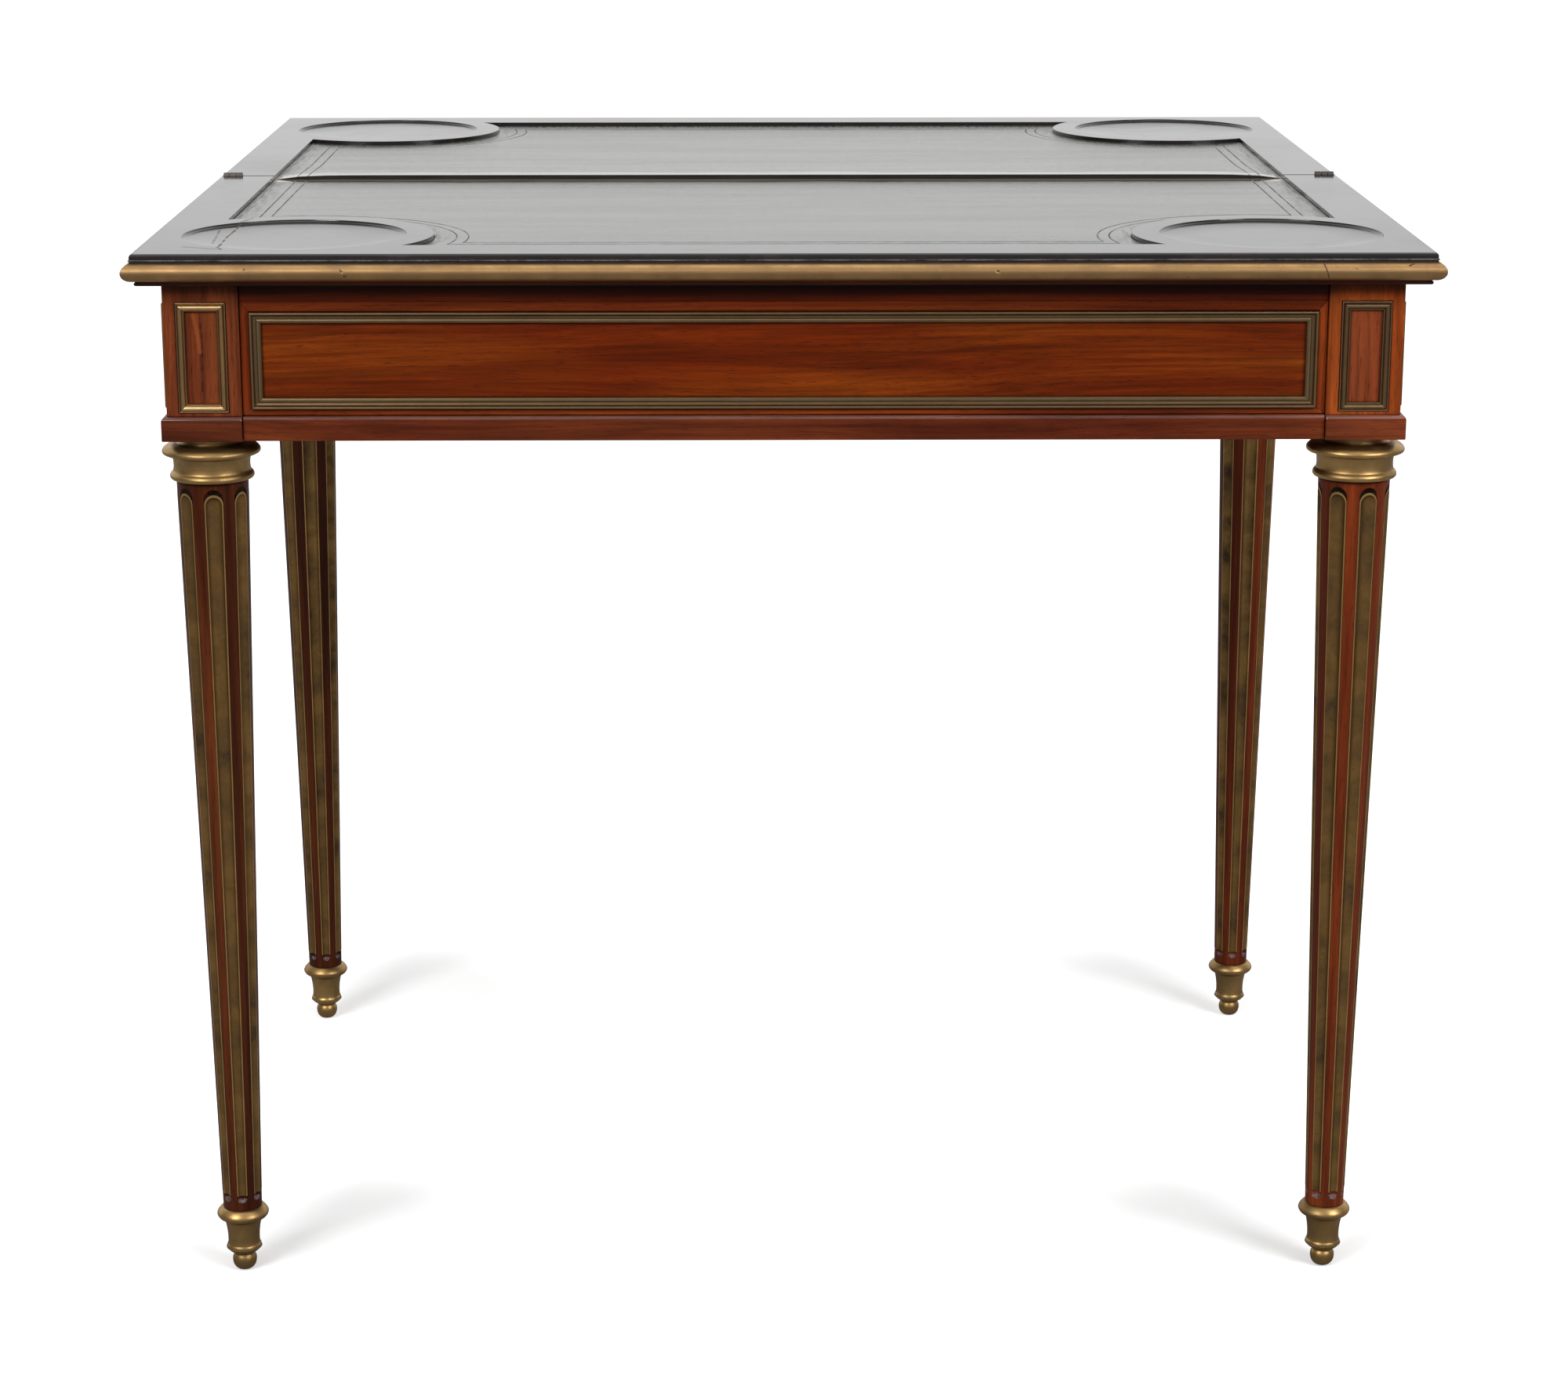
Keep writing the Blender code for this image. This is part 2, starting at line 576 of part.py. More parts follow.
def hinge_plate(name, knuckles):
    """A plate let into the front leaf's edge, with the knuckles of the given numbers."""
    back, front = LEAF_JOINT_Y, LEAF_JOINT_Y - PLATE_THICKNESS
    piece = box(name, (HINGE_INNER, front, PLATE_BOTTOM), (HINGE_OUTER, back, HINGE_AXIS_HEIGHT))
    length = HINGE_LENGTH / KNUCKLE_COUNT
    for number in range(KNUCKLE_COUNT):
        start, end = HINGE_INNER + length * number, HINGE_INNER + length * (number + 1)
        if number in knuckles:
            ends = ((start + FIT_GAP / 2, 0, HINGE_AXIS_HEIGHT), (end - FIT_GAP / 2, 0, HINGE_AXIS_HEIGHT))
            combine(piece, rod("hinge_knuckle", KNUCKLE_RADIUS, *ends, KNUCKLE_SEGMENTS), "UNION")
        else:
            low = (start - FIT_GAP, front - OVERRUN, PLATE_TOP)
            high = (end + FIT_GAP, back + OVERRUN, HINGE_AXIS_HEIGHT + KNUCKLE_RADIUS)
            cut(piece, box("knuckle_gap", low, high))
    ends = ((HINGE_INNER - OVERRUN, 0, HINGE_AXIS_HEIGHT), (HINGE_OUTER + OVERRUN, 0, HINGE_AXIS_HEIGHT))
    cut(piece, rod("hinge_bore", HINGE_PIN_RADIUS + FIT_GAP, *ends, PIN_SEGMENTS))
    for height in hinge_screw_heights():
        ends = ((HINGE_MIDDLE, front - OVERRUN, height), (HINGE_MIDDLE, OVERRUN, height))
        cut(piece, rod("plate_hole", HINGE_SCREW_RADIUS + FIT_GAP, *ends, SCREW_SEGMENTS))
        sink = back - HINGE_SCREW_HEAD_HEIGHT - FIT_GAP
        ends = ((HINGE_MIDDLE, sink, height), (HINGE_MIDDLE, OVERRUN, height))
        cut(piece, rod("plate_sink", HINGE_SCREW_HEAD_RADIUS + FIT_GAP, *ends, SCREW_SEGMENTS))
    return settled(piece)


def make_hinges(leaf_holder):
    """Two butt hinges, each with a front plate, a rear plate and a pin."""
    front_plate = hinge_plate("hinge_plate", [0, 2])
    rear_plate = hinge_plate("hinge_plate_turned", [1])
    ends = ((HINGE_INNER, 0, HINGE_AXIS_HEIGHT), (HINGE_OUTER, 0, HINGE_AXIS_HEIGHT))
    pin = rod("hinge_pin", HINGE_PIN_RADIUS, *ends, PIN_SEGMENTS)
    for side, sign in SIDES.items():
        aside = Matrix.Translation(((sign - 1) * HINGE_MIDDLE, 0, 0))
        turn = Matrix.Rotation(HALF_TURN, 4, "Z")
        turned_aside = Matrix.Translation(((sign + 1) * HINGE_MIDDLE, 0, 0)) @ turn
        finished(copied("hinge_plate_front_" + side, front_plate, aside), BRASS)
        finished(copied("hinge_plate_rear_" + side, rear_plate, turned_aside), BRASS, leaf_holder)
        finished(copied("hinge_pin_" + side, pin, aside), STEEL)
    remove_patterns(front_plate, rear_plate, pin)


# Rails, plinths and brass panel frames

def turn_to_face(facing):
    """Stands a flat piece upright, so that its top looks along facing and its X lies level."""
    turn = Vector((0, 0, 1)).rotation_difference(Vector(facing)).to_matrix().to_4x4()
    if facing[0]:
        return turn @ Matrix.Rotation(QUARTER_TURN, 4, "Z")
    return turn


def frame_section(width, height):
    """The section of a brass frame: outer bead, broad cove and inner bead."""
    return [(width * across, height * up) for across, up in MOULDING_SECTION_SHARES]


def panel_frame(name, width, height, facing, centre):
    """A large mitred brass frame, bedded in its sunk panel."""
    section = frame_section(PANEL_MOULDING_WIDTH, PANEL_MOULDING_HEIGHT)
    bed = Vector(centre) - Vector(facing) * (PANEL_SINK - FIT_GAP)
    place = Matrix.Translation(bed) @ turn_to_face(facing)
    return moulding(name, rectangle_path(width, height), section, place)


def panel_recess(width, height, sink, facing, centre):
    """A cutter for a sunk panel in a face that looks along facing."""
    across, up = width / 2 + FIT_GAP, height / 2 + FIT_GAP
    recess = box("panel_recess", (-across, -up, -sink), (across, up, OVERRUN))
    recess.data.transform(Matrix.Translation(centre) @ turn_to_face(facing))
    return recess


def make_long_rail(prefix, face, inner, side, holder):
    """The front or rear rail with its plinth band and brass frame; side is -1 in front."""
    facing, centre = (0, side, 0), (0, face, PANEL_MIDDLE)
    half = RAIL_SPAN / 2
    rail = box(prefix + "_rail", (-half, face, FRIEZE_BOTTOM), (half, inner, FRIEZE_TOP))
    cut(rail, panel_recess(LONG_PANEL_WIDTH, PANEL_HEIGHT, PANEL_SINK, facing, centre))
    finished(rail, MAHOGANY, holder)
    band_face = face + side * PLINTH_REACH
    band = box(prefix + "_plinth", (-half, band_face, PLINTH_BOTTOM), (half, inner, PLINTH_TOP))
    finished(band, MAHOGANY, holder)
    frame = panel_frame(prefix + "_panel_frame", LONG_PANEL_WIDTH, PANEL_HEIGHT, facing, centre)
    finished(frame, BRASS, holder)
    return rail


def make_side_rail(prefix, sign):
    """A side rail of the fixed frame with its plinth band and brass frame."""
    facing, centre = (sign, 0, 0), (sign * SIDE_RAIL_FACE, SIDE_RAIL_MIDDLE, PANEL_MIDDLE)
    face, inner = sign * SIDE_RAIL_FACE, sign * SIDE_RAIL_INNER
    low, high = (inner, SIDE_RAIL_FRONT, FRIEZE_BOTTOM), (face, SIDE_RAIL_REAR, FRIEZE_TOP)
    rail = box(prefix + "_side_rail", low, high)
    cut(rail, panel_recess(SIDE_PANEL_WIDTH, PANEL_HEIGHT, PANEL_SINK, facing, centre))
    finished(rail, MAHOGANY)
    band_face = face + sign * PLINTH_REACH
    low, high = (inner, SIDE_RAIL_FRONT, PLINTH_BOTTOM), (band_face, SIDE_RAIL_REAR, PLINTH_TOP)
    finished(box(prefix + "_side_plinth", low, high), MAHOGANY)
    frame = panel_frame(prefix + "_panel_frame", SIDE_PANEL_WIDTH, PANEL_HEIGHT, facing, centre)
    finished(frame, BRASS)


# Corner blocks, made about the origin with their outer faces to the left and to the front

def corner_block():
    """A square block with its plinth, two sunk panels and a socket for the leg's tenon."""
    half = BLOCK_SIDE / 2
    block = box("corner_block", (-half, -half, PLINTH_BOTTOM), (half, half, FRIEZE_TOP))
    plinth_face = -half - PLINTH_REACH
    plinth = box("block_plinth", (plinth_face, plinth_face, PLINTH_BOTTOM), (half, half, PLINTH_TOP))
    combine(block, plinth, "UNION")
    for facing in ((-1, 0, 0), (0, -1, 0)):
        centre = Vector(facing) * half + Vector((0, 0, BLOCK_PANEL_MIDDLE))
        cut(block, panel_recess(BLOCK_PANEL_WIDTH, BLOCK_PANEL_HEIGHT, BLOCK_PANEL_SINK, facing, centre))
    low = (0, 0, PLINTH_BOTTOM - OVERRUN)
    high = (0, 0, FRIEZE_BOTTOM + TENON_IN_BLOCK + FIT_GAP)
    cut(block, rod("tenon_socket", TENON_RADIUS + FIT_GAP, low, high, TENON_SEGMENTS))
    return settled(block)


def block_frame():
    """The small brass frame of the block's front face."""
    section = frame_section(BLOCK_MOULDING_WIDTH, BLOCK_MOULDING_HEIGHT)
    bed = BLOCK_SIDE / 2 - BLOCK_PANEL_SINK + FIT_GAP
    place = Matrix.Translation((0, -bed, BLOCK_PANEL_MIDDLE)) @ turn_to_face((0, -1, 0))
    return moulding("block_frame", rectangle_path(BLOCK_PANEL_WIDTH, BLOCK_PANEL_HEIGHT), section, place)


def make_corners(frame_holder):
    """A block with two small frames at each corner."""
    block, frame = corner_block(), block_frame()
    for corner, (x, y) in LEG_PLACES.items():
        holder = frame_holder if corner.startswith("rear") else None
        upright = Matrix.Translation((x, y, 0))
        turns = CORNER_QUARTER_TURNS[corner]
        place = upright @ Matrix.Rotation(QUARTER_TURN * turns, 4, "Z")
        finished(copied("corner_block_" + corner, block, place), MAHOGANY, holder)
        end = "front" if corner.startswith("front") else "back"
        end_turn = 0 if end == "front" else HALF_TURN
        side_turn = -QUARTER_TURN if corner.endswith("left") else QUARTER_TURN
        for face, angle in ((end, end_turn), ("side", side_turn)):
            place = upright @ Matrix.Rotation(angle, 4, "Z")
            finished(copied(f"block_frame_{corner}_{face}", frame, place), BRASS, holder)
    remove_patterns(block, frame)


# Legs

def shaft_radius(height):
    """The shaft's radius at a height, from its straight taper."""
    share = (height - SHAFT_FOOT) / (SHAFT_TOP - SHAFT_FOOT)
    return SHAFT_FOOT_RADIUS + (SHAFT_TOP_RADIUS - SHAFT_FOOT_RADIUS) * share


def flute_circle_shares():
    """The flute's circle in shares of the shaft's radius: its radius and its centre's distance."""
    half_angle = math.radians(FLUTE_HALF_ANGLE_DEG)
    half_chord = math.sin(half_angle)
    below_chord = FLUTE_DEPTH_SHARE - (1 - math.cos(half_angle))
    radius = (half_chord**2 + below_chord**2) / (2 * below_chord)
    return radius, math.cos(half_angle) - below_chord + radius


def flute_cutter():
    """A long tapering body with round ends, lying along the shaft's side at +X."""
    radius_share, centre_share = flute_circle_shares()
    end_share = math.sqrt(radius_share**2 - (centre_share - 1) ** 2)
    arch, stop = SHAFT_TOP - FLUTE_TOP_MARGIN, SHAFT_FOOT + FLUTE_FOOT_MARGIN
    top = arch - end_share * shaft_radius(arch)
    foot = stop + end_share * shaft_radius(stop)
    top_centre = Vector((centre_share * shaft_radius(top), 0, top))
    foot_centre = Vector((centre_share * shaft_radius(foot), 0, foot))
    top_radius, foot_radius = radius_share * shaft_radius(top), radius_share * shaft_radius(foot)
    along = top_centre - foot_centre
    outline = []
    for step in range(FLUTE_END_STEPS + 1):
        angle = QUARTER_TURN * step / FLUTE_END_STEPS
        outline.append((top_radius * math.sin(angle), along.length + top_radius * math.cos(angle)))
    for step in range(FLUTE_END_STEPS + 1):
        angle = QUARTER_TURN * step / FLUTE_END_STEPS
        outline.append((foot_radius * math.cos(angle), -foot_radius * math.sin(angle)))
    body = turned("flute", outline, FLUTE_SEGMENTS)
    lean = Vector((0, 0, 1)).rotation_difference(along).to_matrix().to_4x4()
    half_step = Matrix.Rotation(HALF_TURN / FLUTE_SEGMENTS, 4, "Z")
    body.data.transform(Matrix.Translation(foot_centre) @ lean @ half_step)
    return body


def turned_leg():
    """The leg: a tenon, the tapering shaft with its flutes, and the foot's tenon."""
    tenon_top = FRIEZE_BOTTOM + TENON_IN_BLOCK
    outline = (
        (0, tenon_top), (TENON_RADIUS, tenon_top), (TENON_RADIUS, SHAFT_TOP),
        (SHAFT_TOP_RADIUS, SHAFT_TOP), (SHAFT_FOOT_RADIUS, SHAFT_FOOT), (FOOT_TENON_RADIUS, SHAFT_FOOT),
        (FOOT_TENON_RADIUS, FOOT_TENON_END), (0, FOOT_TENON_END),
    )
    leg = turned("leg", outline, SHAFT_SEGMENTS)
    for number in range(FLUTE_COUNT):
        flute = flute_cutter()
        flute.data.transform(Matrix.Rotation(FULL_TURN * number / FLUTE_COUNT, 4, "Z"))
        cut(leg, flute)
    return settled(leg)


def capital():
    """The brass collar: neck, torus, cove and bead, bored for the tenon."""
    bore = TENON_RADIUS + FIT_GAP
    outline = [(bore, CAPITAL_BOTTOM), (bore, CAPITAL_TOP)]
    for across, up in CAPITAL_OUTLINE_SHARES:
        outline.append((CAPITAL_RADIUS * across, CAPITAL_BOTTOM + CAPITAL_HEIGHT * up))
    return turned("capital", outline + [outline[0]], CAPITAL_SEGMENTS)


def sabot():
    """The brass foot: flange, cup and ball, with a socket for the leg's foot tenon."""
    bore, socket = FOOT_TENON_RADIUS + FIT_GAP, FOOT_TENON_END - FIT_GAP
    outline = [(0, socket), (bore, socket), (bore, SABOT_HEIGHT)]
    for across, up in SABOT_OUTLINE_SHARES:
        outline.append((SABOT_RADIUS * across, SABOT_HEIGHT * up))
    return turned("sabot", outline + [(0, 0)], SABOT_SEGMENTS)


def make_legs(frame_holder):
    """Four legs, each with its capital and sabot."""
    leg, collar, foot = turned_leg(), capital(), sabot()
    for corner, (x, y) in LEG_PLACES.items():
        holder = frame_holder if corner.startswith("rear") else None
        upright = Matrix.Translation((x, y, 0))
        place = upright @ Matrix.Rotation(math.radians(FLUTE_TURNS_DEG[corner]), 4, "Z")
        finished(copied("leg_" + corner, leg, place), MAHOGANY, holder)
        finished(copied("capital_" + corner, collar, upright), BRASS, holder)
        finished(copied("sabot_" + corner, foot, upright), BRASS, holder)
    remove_patterns(leg, collar, foot)


# The slide: guides and cross rail on the fixed frame, bearers and stretcher on the rear frame

def make_guide(prefix, sign):
    """A grooved runner on the inside of a side rail."""
    face, back = sign * (BEARER_OUTER + FIT_GAP), sign * (SIDE_RAIL_INNER - FIT_GAP)
    low, high = (face, SIDE_RAIL_FRONT, BEARER_BOTTOM), (back, SIDE_RAIL_REAR, CROSS_RAIL_BOTTOM - FIT_GAP)
    guide = box(prefix + "_guide", low, high)
    half_groove = TONGUE_HEIGHT / 2 + FIT_GAP
    groove_floor = sign * (BEARER_OUTER + TONGUE_REACH + FIT_GAP)
    low = (sign * (BEARER_OUTER - OVERRUN), SIDE_RAIL_FRONT - OVERRUN, TONGUE_MIDDLE - half_groove)
    high = (groove_floor, SIDE_RAIL_REAR + OVERRUN, TONGUE_MIDDLE + half_groove)
    finished(cut(guide, box("guide_groove", low, high)), INNER_WOOD)


def make_bearer(prefix, sign, holder):
    """A bearer of the sliding frame with the tongue that runs in the guide's groove."""
    inner, outer = sign * BEARER_INNER, sign * BEARER_OUTER
    bearer = box(prefix + "_bearer", (inner, BEARER_FRONT, BEARER_BOTTOM), (outer, BEARER_REAR, BEARER_TOP))
    low = (sign * (BEARER_OUTER - OVERRUN), TONGUE_FRONT, TONGUE_MIDDLE - TONGUE_HEIGHT / 2)
    high = (sign * (BEARER_OUTER + TONGUE_REACH), TONGUE_REAR, TONGUE_MIDDLE + TONGUE_HEIGHT / 2)
    finished(combine(bearer, box("tongue", low, high), "UNION"), INNER_WOOD, holder)


def make_slide(frame_holder):
    """What carries, guides and stops the rear frame inside the table."""
    for side, sign in SIDES.items():
        make_guide(side, sign)
        make_bearer(side, sign, frame_holder)
    low = (-BEARER_OUTER, STRETCHER_FRONT, BEARER_BOTTOM)
    high = (BEARER_OUTER, STRETCHER_REAR, STRETCHER_TOP)
    finished(box("slide_stretcher", low, high), INNER_WOOD, frame_holder)
    half_span = SIDE_RAIL_INNER - FIT_GAP
    low, high = (-half_span, CROSS_RAIL_FRONT, CROSS_RAIL_BOTTOM), (half_span, CROSS_RAIL_REAR, FRIEZE_TOP)
    cross_rail = box("cross_rail", low, high)
    return finished(cross_rail, INNER_WOOD)


# Screws that hold the front leaf down

def top_screw_places():
    """A matrix for each screw: its head's outer face at the origin, its shank along +Z."""
    places = {}
    for side, sign in SIDES.items():
        x = sign * TOP_SCREW_OFFSET
        upright = Matrix.Translation((x, (CROSS_RAIL_FRONT + CROSS_RAIL_REAR) / 2, FRIEZE_TOP))
        lean = Matrix.Rotation(math.radians(TOP_SCREW_TILT_DEG), 4, "X")
        leaning = Matrix.Translation((x, (FRONT_RAIL_FACE + FRONT_RAIL_INNER) / 2, FRIEZE_TOP)) @ lean
        back_off = Matrix.Translation((0, 0, -TOP_SCREW_RUN))
        places["rear_" + side] = upright @ back_off
        places["front_" + side] = leaning @ back_off
    return places


def make_top_screws(front_rail, cross_rail):
    """Two screws in pockets of the front rail and two in the cross rail, with their holes."""
    length = TOP_SCREW_RUN + TOP_SCREW_GRIP
    outline = (
        (0, length), (TOP_SCREW_RADIUS, length), (TOP_SCREW_RADIUS, TOP_SCREW_HEAD_HEIGHT),
        (TOP_SCREW_HEAD_RADIUS, TOP_SCREW_HEAD_HEIGHT), (TOP_SCREW_HEAD_RADIUS, 0), (0, 0),
    )
    screw = turned("top_screw", outline, SCREW_SEGMENTS)
    for corner, place in top_screw_places().items():
        finished(copied("top_screw_" + corner, screw, place), STEEL)
        carrier = front_rail if corner.startswith("front") else cross_rail
        ends = (place @ Vector((0, 0, 0)), place @ Vector((0, 0, TOP_SCREW_RUN + OVERRUN)))
        cut(carrier, rod("top_screw_bore", TOP_SCREW_RADIUS + FIT_GAP, *ends, SCREW_SEGMENTS))
        seat = place @ Vector((0, 0, TOP_SCREW_HEAD_HEIGHT + FIT_GAP))
        mouth = place @ Vector((0, 0, -TOP_SCREW_POCKET_RUN))
        cut(carrier, rod("top_screw_pocket", TOP_SCREW_HEAD_RADIUS + FIT_GAP, mouth, seat, SCREW_SEGMENTS))
    remove_patterns(screw)


def make_table():
    """The whole table, open as for play."""
    leaf_holder = joint_empty("leaf_hinge_axis", (0, 0, HINGE_AXIS_HEIGHT))
    frame_holder = joint_empty("rear_frame_slide_axis", (0, REAR_LEG_Y, 0))
    make_leaves(leaf_holder)
    make_hinges(leaf_holder)
    front_rail = make_long_rail("front", FRONT_RAIL_FACE, FRONT_RAIL_INNER, -1, None)
    make_long_rail("rear", REAR_RAIL_FACE, REAR_RAIL_INNER, 1, frame_holder)
    for side, sign in SIDES.items():
        make_side_rail(side, sign)
    make_corners(frame_holder)
    make_legs(frame_holder)
    cross_rail = make_slide(frame_holder)
    make_top_screws(front_rail, cross_rail)


make_table()
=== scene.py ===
# %% [markdown]
# # A fold-over games table with brass mounts
#
# The table is made of mahogany with brass mounts. Its top is two leaves joined by small hinges:
# the front leaf is fixed, and the rear leaf folds over on to it. The rear legs stand in a frame
# that slides out to carry the open leaf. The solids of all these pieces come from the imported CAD
# model. This script gives them their finishes, and models again, finer, the pieces that a plain
# solid can't show well. The first cell loads the solids and measures their box.

# %% Load the solids
import json
import math

import bmesh
import bpy
from mathutils import Matrix, Vector


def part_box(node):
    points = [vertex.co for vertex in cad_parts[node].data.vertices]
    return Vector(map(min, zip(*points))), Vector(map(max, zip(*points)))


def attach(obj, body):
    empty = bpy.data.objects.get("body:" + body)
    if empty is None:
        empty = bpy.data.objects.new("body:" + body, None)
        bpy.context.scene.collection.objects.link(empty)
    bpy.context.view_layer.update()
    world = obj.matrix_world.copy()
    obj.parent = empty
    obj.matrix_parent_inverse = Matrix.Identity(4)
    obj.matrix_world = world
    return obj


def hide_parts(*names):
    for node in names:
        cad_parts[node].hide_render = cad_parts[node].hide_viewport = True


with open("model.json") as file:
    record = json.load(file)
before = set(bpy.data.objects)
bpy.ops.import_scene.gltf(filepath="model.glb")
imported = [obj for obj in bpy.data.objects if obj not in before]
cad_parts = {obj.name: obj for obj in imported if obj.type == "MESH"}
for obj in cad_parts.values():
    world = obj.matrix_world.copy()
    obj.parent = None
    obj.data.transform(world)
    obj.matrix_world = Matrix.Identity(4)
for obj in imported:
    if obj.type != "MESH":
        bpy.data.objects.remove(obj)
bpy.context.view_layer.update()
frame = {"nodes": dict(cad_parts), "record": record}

nodes = frame["nodes"]

# %% [markdown]
# ## The camera
#
# The camera stands 2.4 m in front of the table, a little left of its middle and about 34 cm above
# the top, and looks 15 degrees down. From there the tops of the leaves are seen at a very flat
# angle, which is why polished leather and lacquer look pale: they mirror the bright wall behind.

# %% Place the camera
CAMERA_PLACE = (-0.0233, -2.8613, 1.0932)
CAMERA_PITCH = 0.26153
CAMERA_YAW = 0.0094
FOCAL_PIXELS = 4619.7
IMAGE_WIDTH = 2000
SENSOR_WIDTH = 36.0

camera_data = bpy.data.cameras.new("camera")
camera_data.sensor_width = SENSOR_WIDTH
camera_data.lens = FOCAL_PIXELS / IMAGE_WIDTH * SENSOR_WIDTH
camera = bpy.data.objects.new("camera", camera_data)
camera.location = CAMERA_PLACE
camera.rotation_euler = (math.pi / 2 - CAMERA_PITCH, 0, -CAMERA_YAW)
bpy.context.scene.collection.objects.link(camera)
bpy.context.scene.camera = camera
print("lens:", round(camera_data.lens, 2), "mm")

# %% [markdown]
# ## Floor, room and light
#
# The object is judged by its own colours, so the light is plain: a big soft lamp above, two large
# lamps in front, and a dim room. Polished metal shows the room itself, so the room has a form in
# reflections only: it is white behind the table, grey above and in front and dark at the sides.
# The floor adds a white of its own for the camera and for reflections, so that it looks white and
# still holds the soft shadows of the feet. Behind each foot that white is lower, which paints a
# shadow there beside the real one. In reflections the floor is darker, because brass mounts show
# deep tones, and the light that it throws back on to the table is that of a greyer floor.

# %% Node helpers
def add_node(tree, kind, **settings):
    """Adds a shader node and sets its properties and its named or numbered inputs."""
    node = tree.nodes.new(kind)
    for name, value in settings.items():
        if name == "inputs":
            for key, given in value.items():
                if isinstance(given, bpy.types.NodeSocket):
                    tree.links.new(given, node.inputs[key])
                else:
                    node.inputs[key].default_value = given
        else:
            setattr(node, name, value)
    return node


def mathed(tree, operation, first, second=0.0, clamp=False):
    """A Math node's output for two values or sockets."""
    inputs = {0: first, 1: second}
    node = add_node(tree, "ShaderNodeMath", operation=operation, use_clamp=clamp, inputs=inputs)
    return node.outputs[0]


def vectored(tree, operation, first, second):
    """A Vector Math node's output, which is one number for a distance or a dot product."""
    inputs = {0: first, "Scale" if operation == "SCALE" else 1: second}
    node = add_node(tree, "ShaderNodeVectorMath", operation=operation, inputs=inputs)
    return node.outputs["Value" if operation in ("DISTANCE", "DOT_PRODUCT") else "Vector"]


def split_up(tree, place):
    """The X, Y and Z outputs of a place."""
    return add_node(tree, "ShaderNodeSeparateXYZ", inputs={0: place}).outputs


def put_together(tree, x, y, z=0.0):
    """A place made from its X, Y and Z."""
    return add_node(tree, "ShaderNodeCombineXYZ", inputs={"X": x, "Y": y, "Z": z}).outputs[0]


def mapped(tree, value, low, high, to_low=0.0, to_high=1.0, smooth=False):
    """A value moved from one range to another and kept inside it."""
    kind = "SMOOTHSTEP" if smooth else "LINEAR"
    inputs = {"Value": value, "From Min": low, "From Max": high, "To Min": to_low, "To Max": to_high}
    node = add_node(tree, "ShaderNodeMapRange", interpolation_type=kind, inputs=inputs)
    return node.outputs["Result"]


def mixed(tree, factor, first, second, blend="MIX"):
    """A colour mixed from two colours or sockets."""
    inputs = {0: factor, 6: first, 7: second}
    kinds = {"data_type": "RGBA", "blend_type": blend, "clamp_factor": True}
    return add_node(tree, "ShaderNodeMix", **kinds, inputs=inputs).outputs[2]


print("node helpers ready")

# %% The room as light and as a mirror image
ROOM_LIGHT = 0.19
MIRRORED_SIDES, MIRRORED_FRONT, MIRRORED_BACK, MIRRORED_ABOVE = 0.05, 0.36, 1.02, 0.36
# how far a direction points back or up where the mirrored back, front and ceiling begin and end
BACK_FADES, FRONT_FADES, CEILING_FADES = (0.05, 0.55), (-0.95, -0.45), (-0.05, 0.65)
WHITE = (1, 1, 1, 1)

world = bpy.data.worlds.new("studio")
bpy.context.scene.world = world
world.use_nodes = True
room = world.node_tree
room.nodes.clear()
towards = split_up(room, add_node(room, "ShaderNodeTexCoord").outputs["Generated"])
behind = mapped(room, towards["Y"], *BACK_FADES, MIRRORED_SIDES, MIRRORED_BACK, smooth=True)
before = mapped(room, towards["Y"], *FRONT_FADES, MIRRORED_FRONT, MIRRORED_SIDES, smooth=True)
above = mapped(room, towards["Z"], *CEILING_FADES, 0.0, MIRRORED_ABOVE, smooth=True)
mirrored = mathed(room, "MAXIMUM", mathed(room, "MAXIMUM", behind, before), above)
ray = add_node(room, "ShaderNodeLightPath").outputs
sharp = mathed(room, "MAXIMUM", ray["Is Glossy Ray"], ray["Is Transmission Ray"])
strength = mixed(room, sharp, (ROOM_LIGHT,) * 3 + (1,), mirrored)
strength = mixed(room, ray["Is Camera Ray"], strength, WHITE)
background = add_node(room, "ShaderNodeBackground", inputs={"Color": strength, "Strength": 1.0})
add_node(room, "ShaderNodeOutputWorld", inputs={"Surface": background.outputs[0]})
print("room nodes:", len(room.nodes))

# %% The floor
FLOOR_SIZE, FLOOR_DROP = 60.0, 0.0005
FLOOR_GREY, FLOOR_SEEN = 0.34, 0.95
CORNERS = ("front_left", "front_right", "rear_left", "rear_right")
# the floor's own white where it is lowered to paint a shadow behind a front and a rear foot, and away
# from all feet
GLOW_IN_PAINTED_SHADOW, GLOW_FAR = {"front": 0.32, "rear": 0.52}, 1.0
GLOW_GROWS = (0.06, 0.24)
SHADOW_SHIFT = (0.07, 0.055)
MIRROR_FADES = (-2.2, -0.6)
MIRROR_FRONT_SHARE, MIRROR_SHARE = 0.24, 0.29

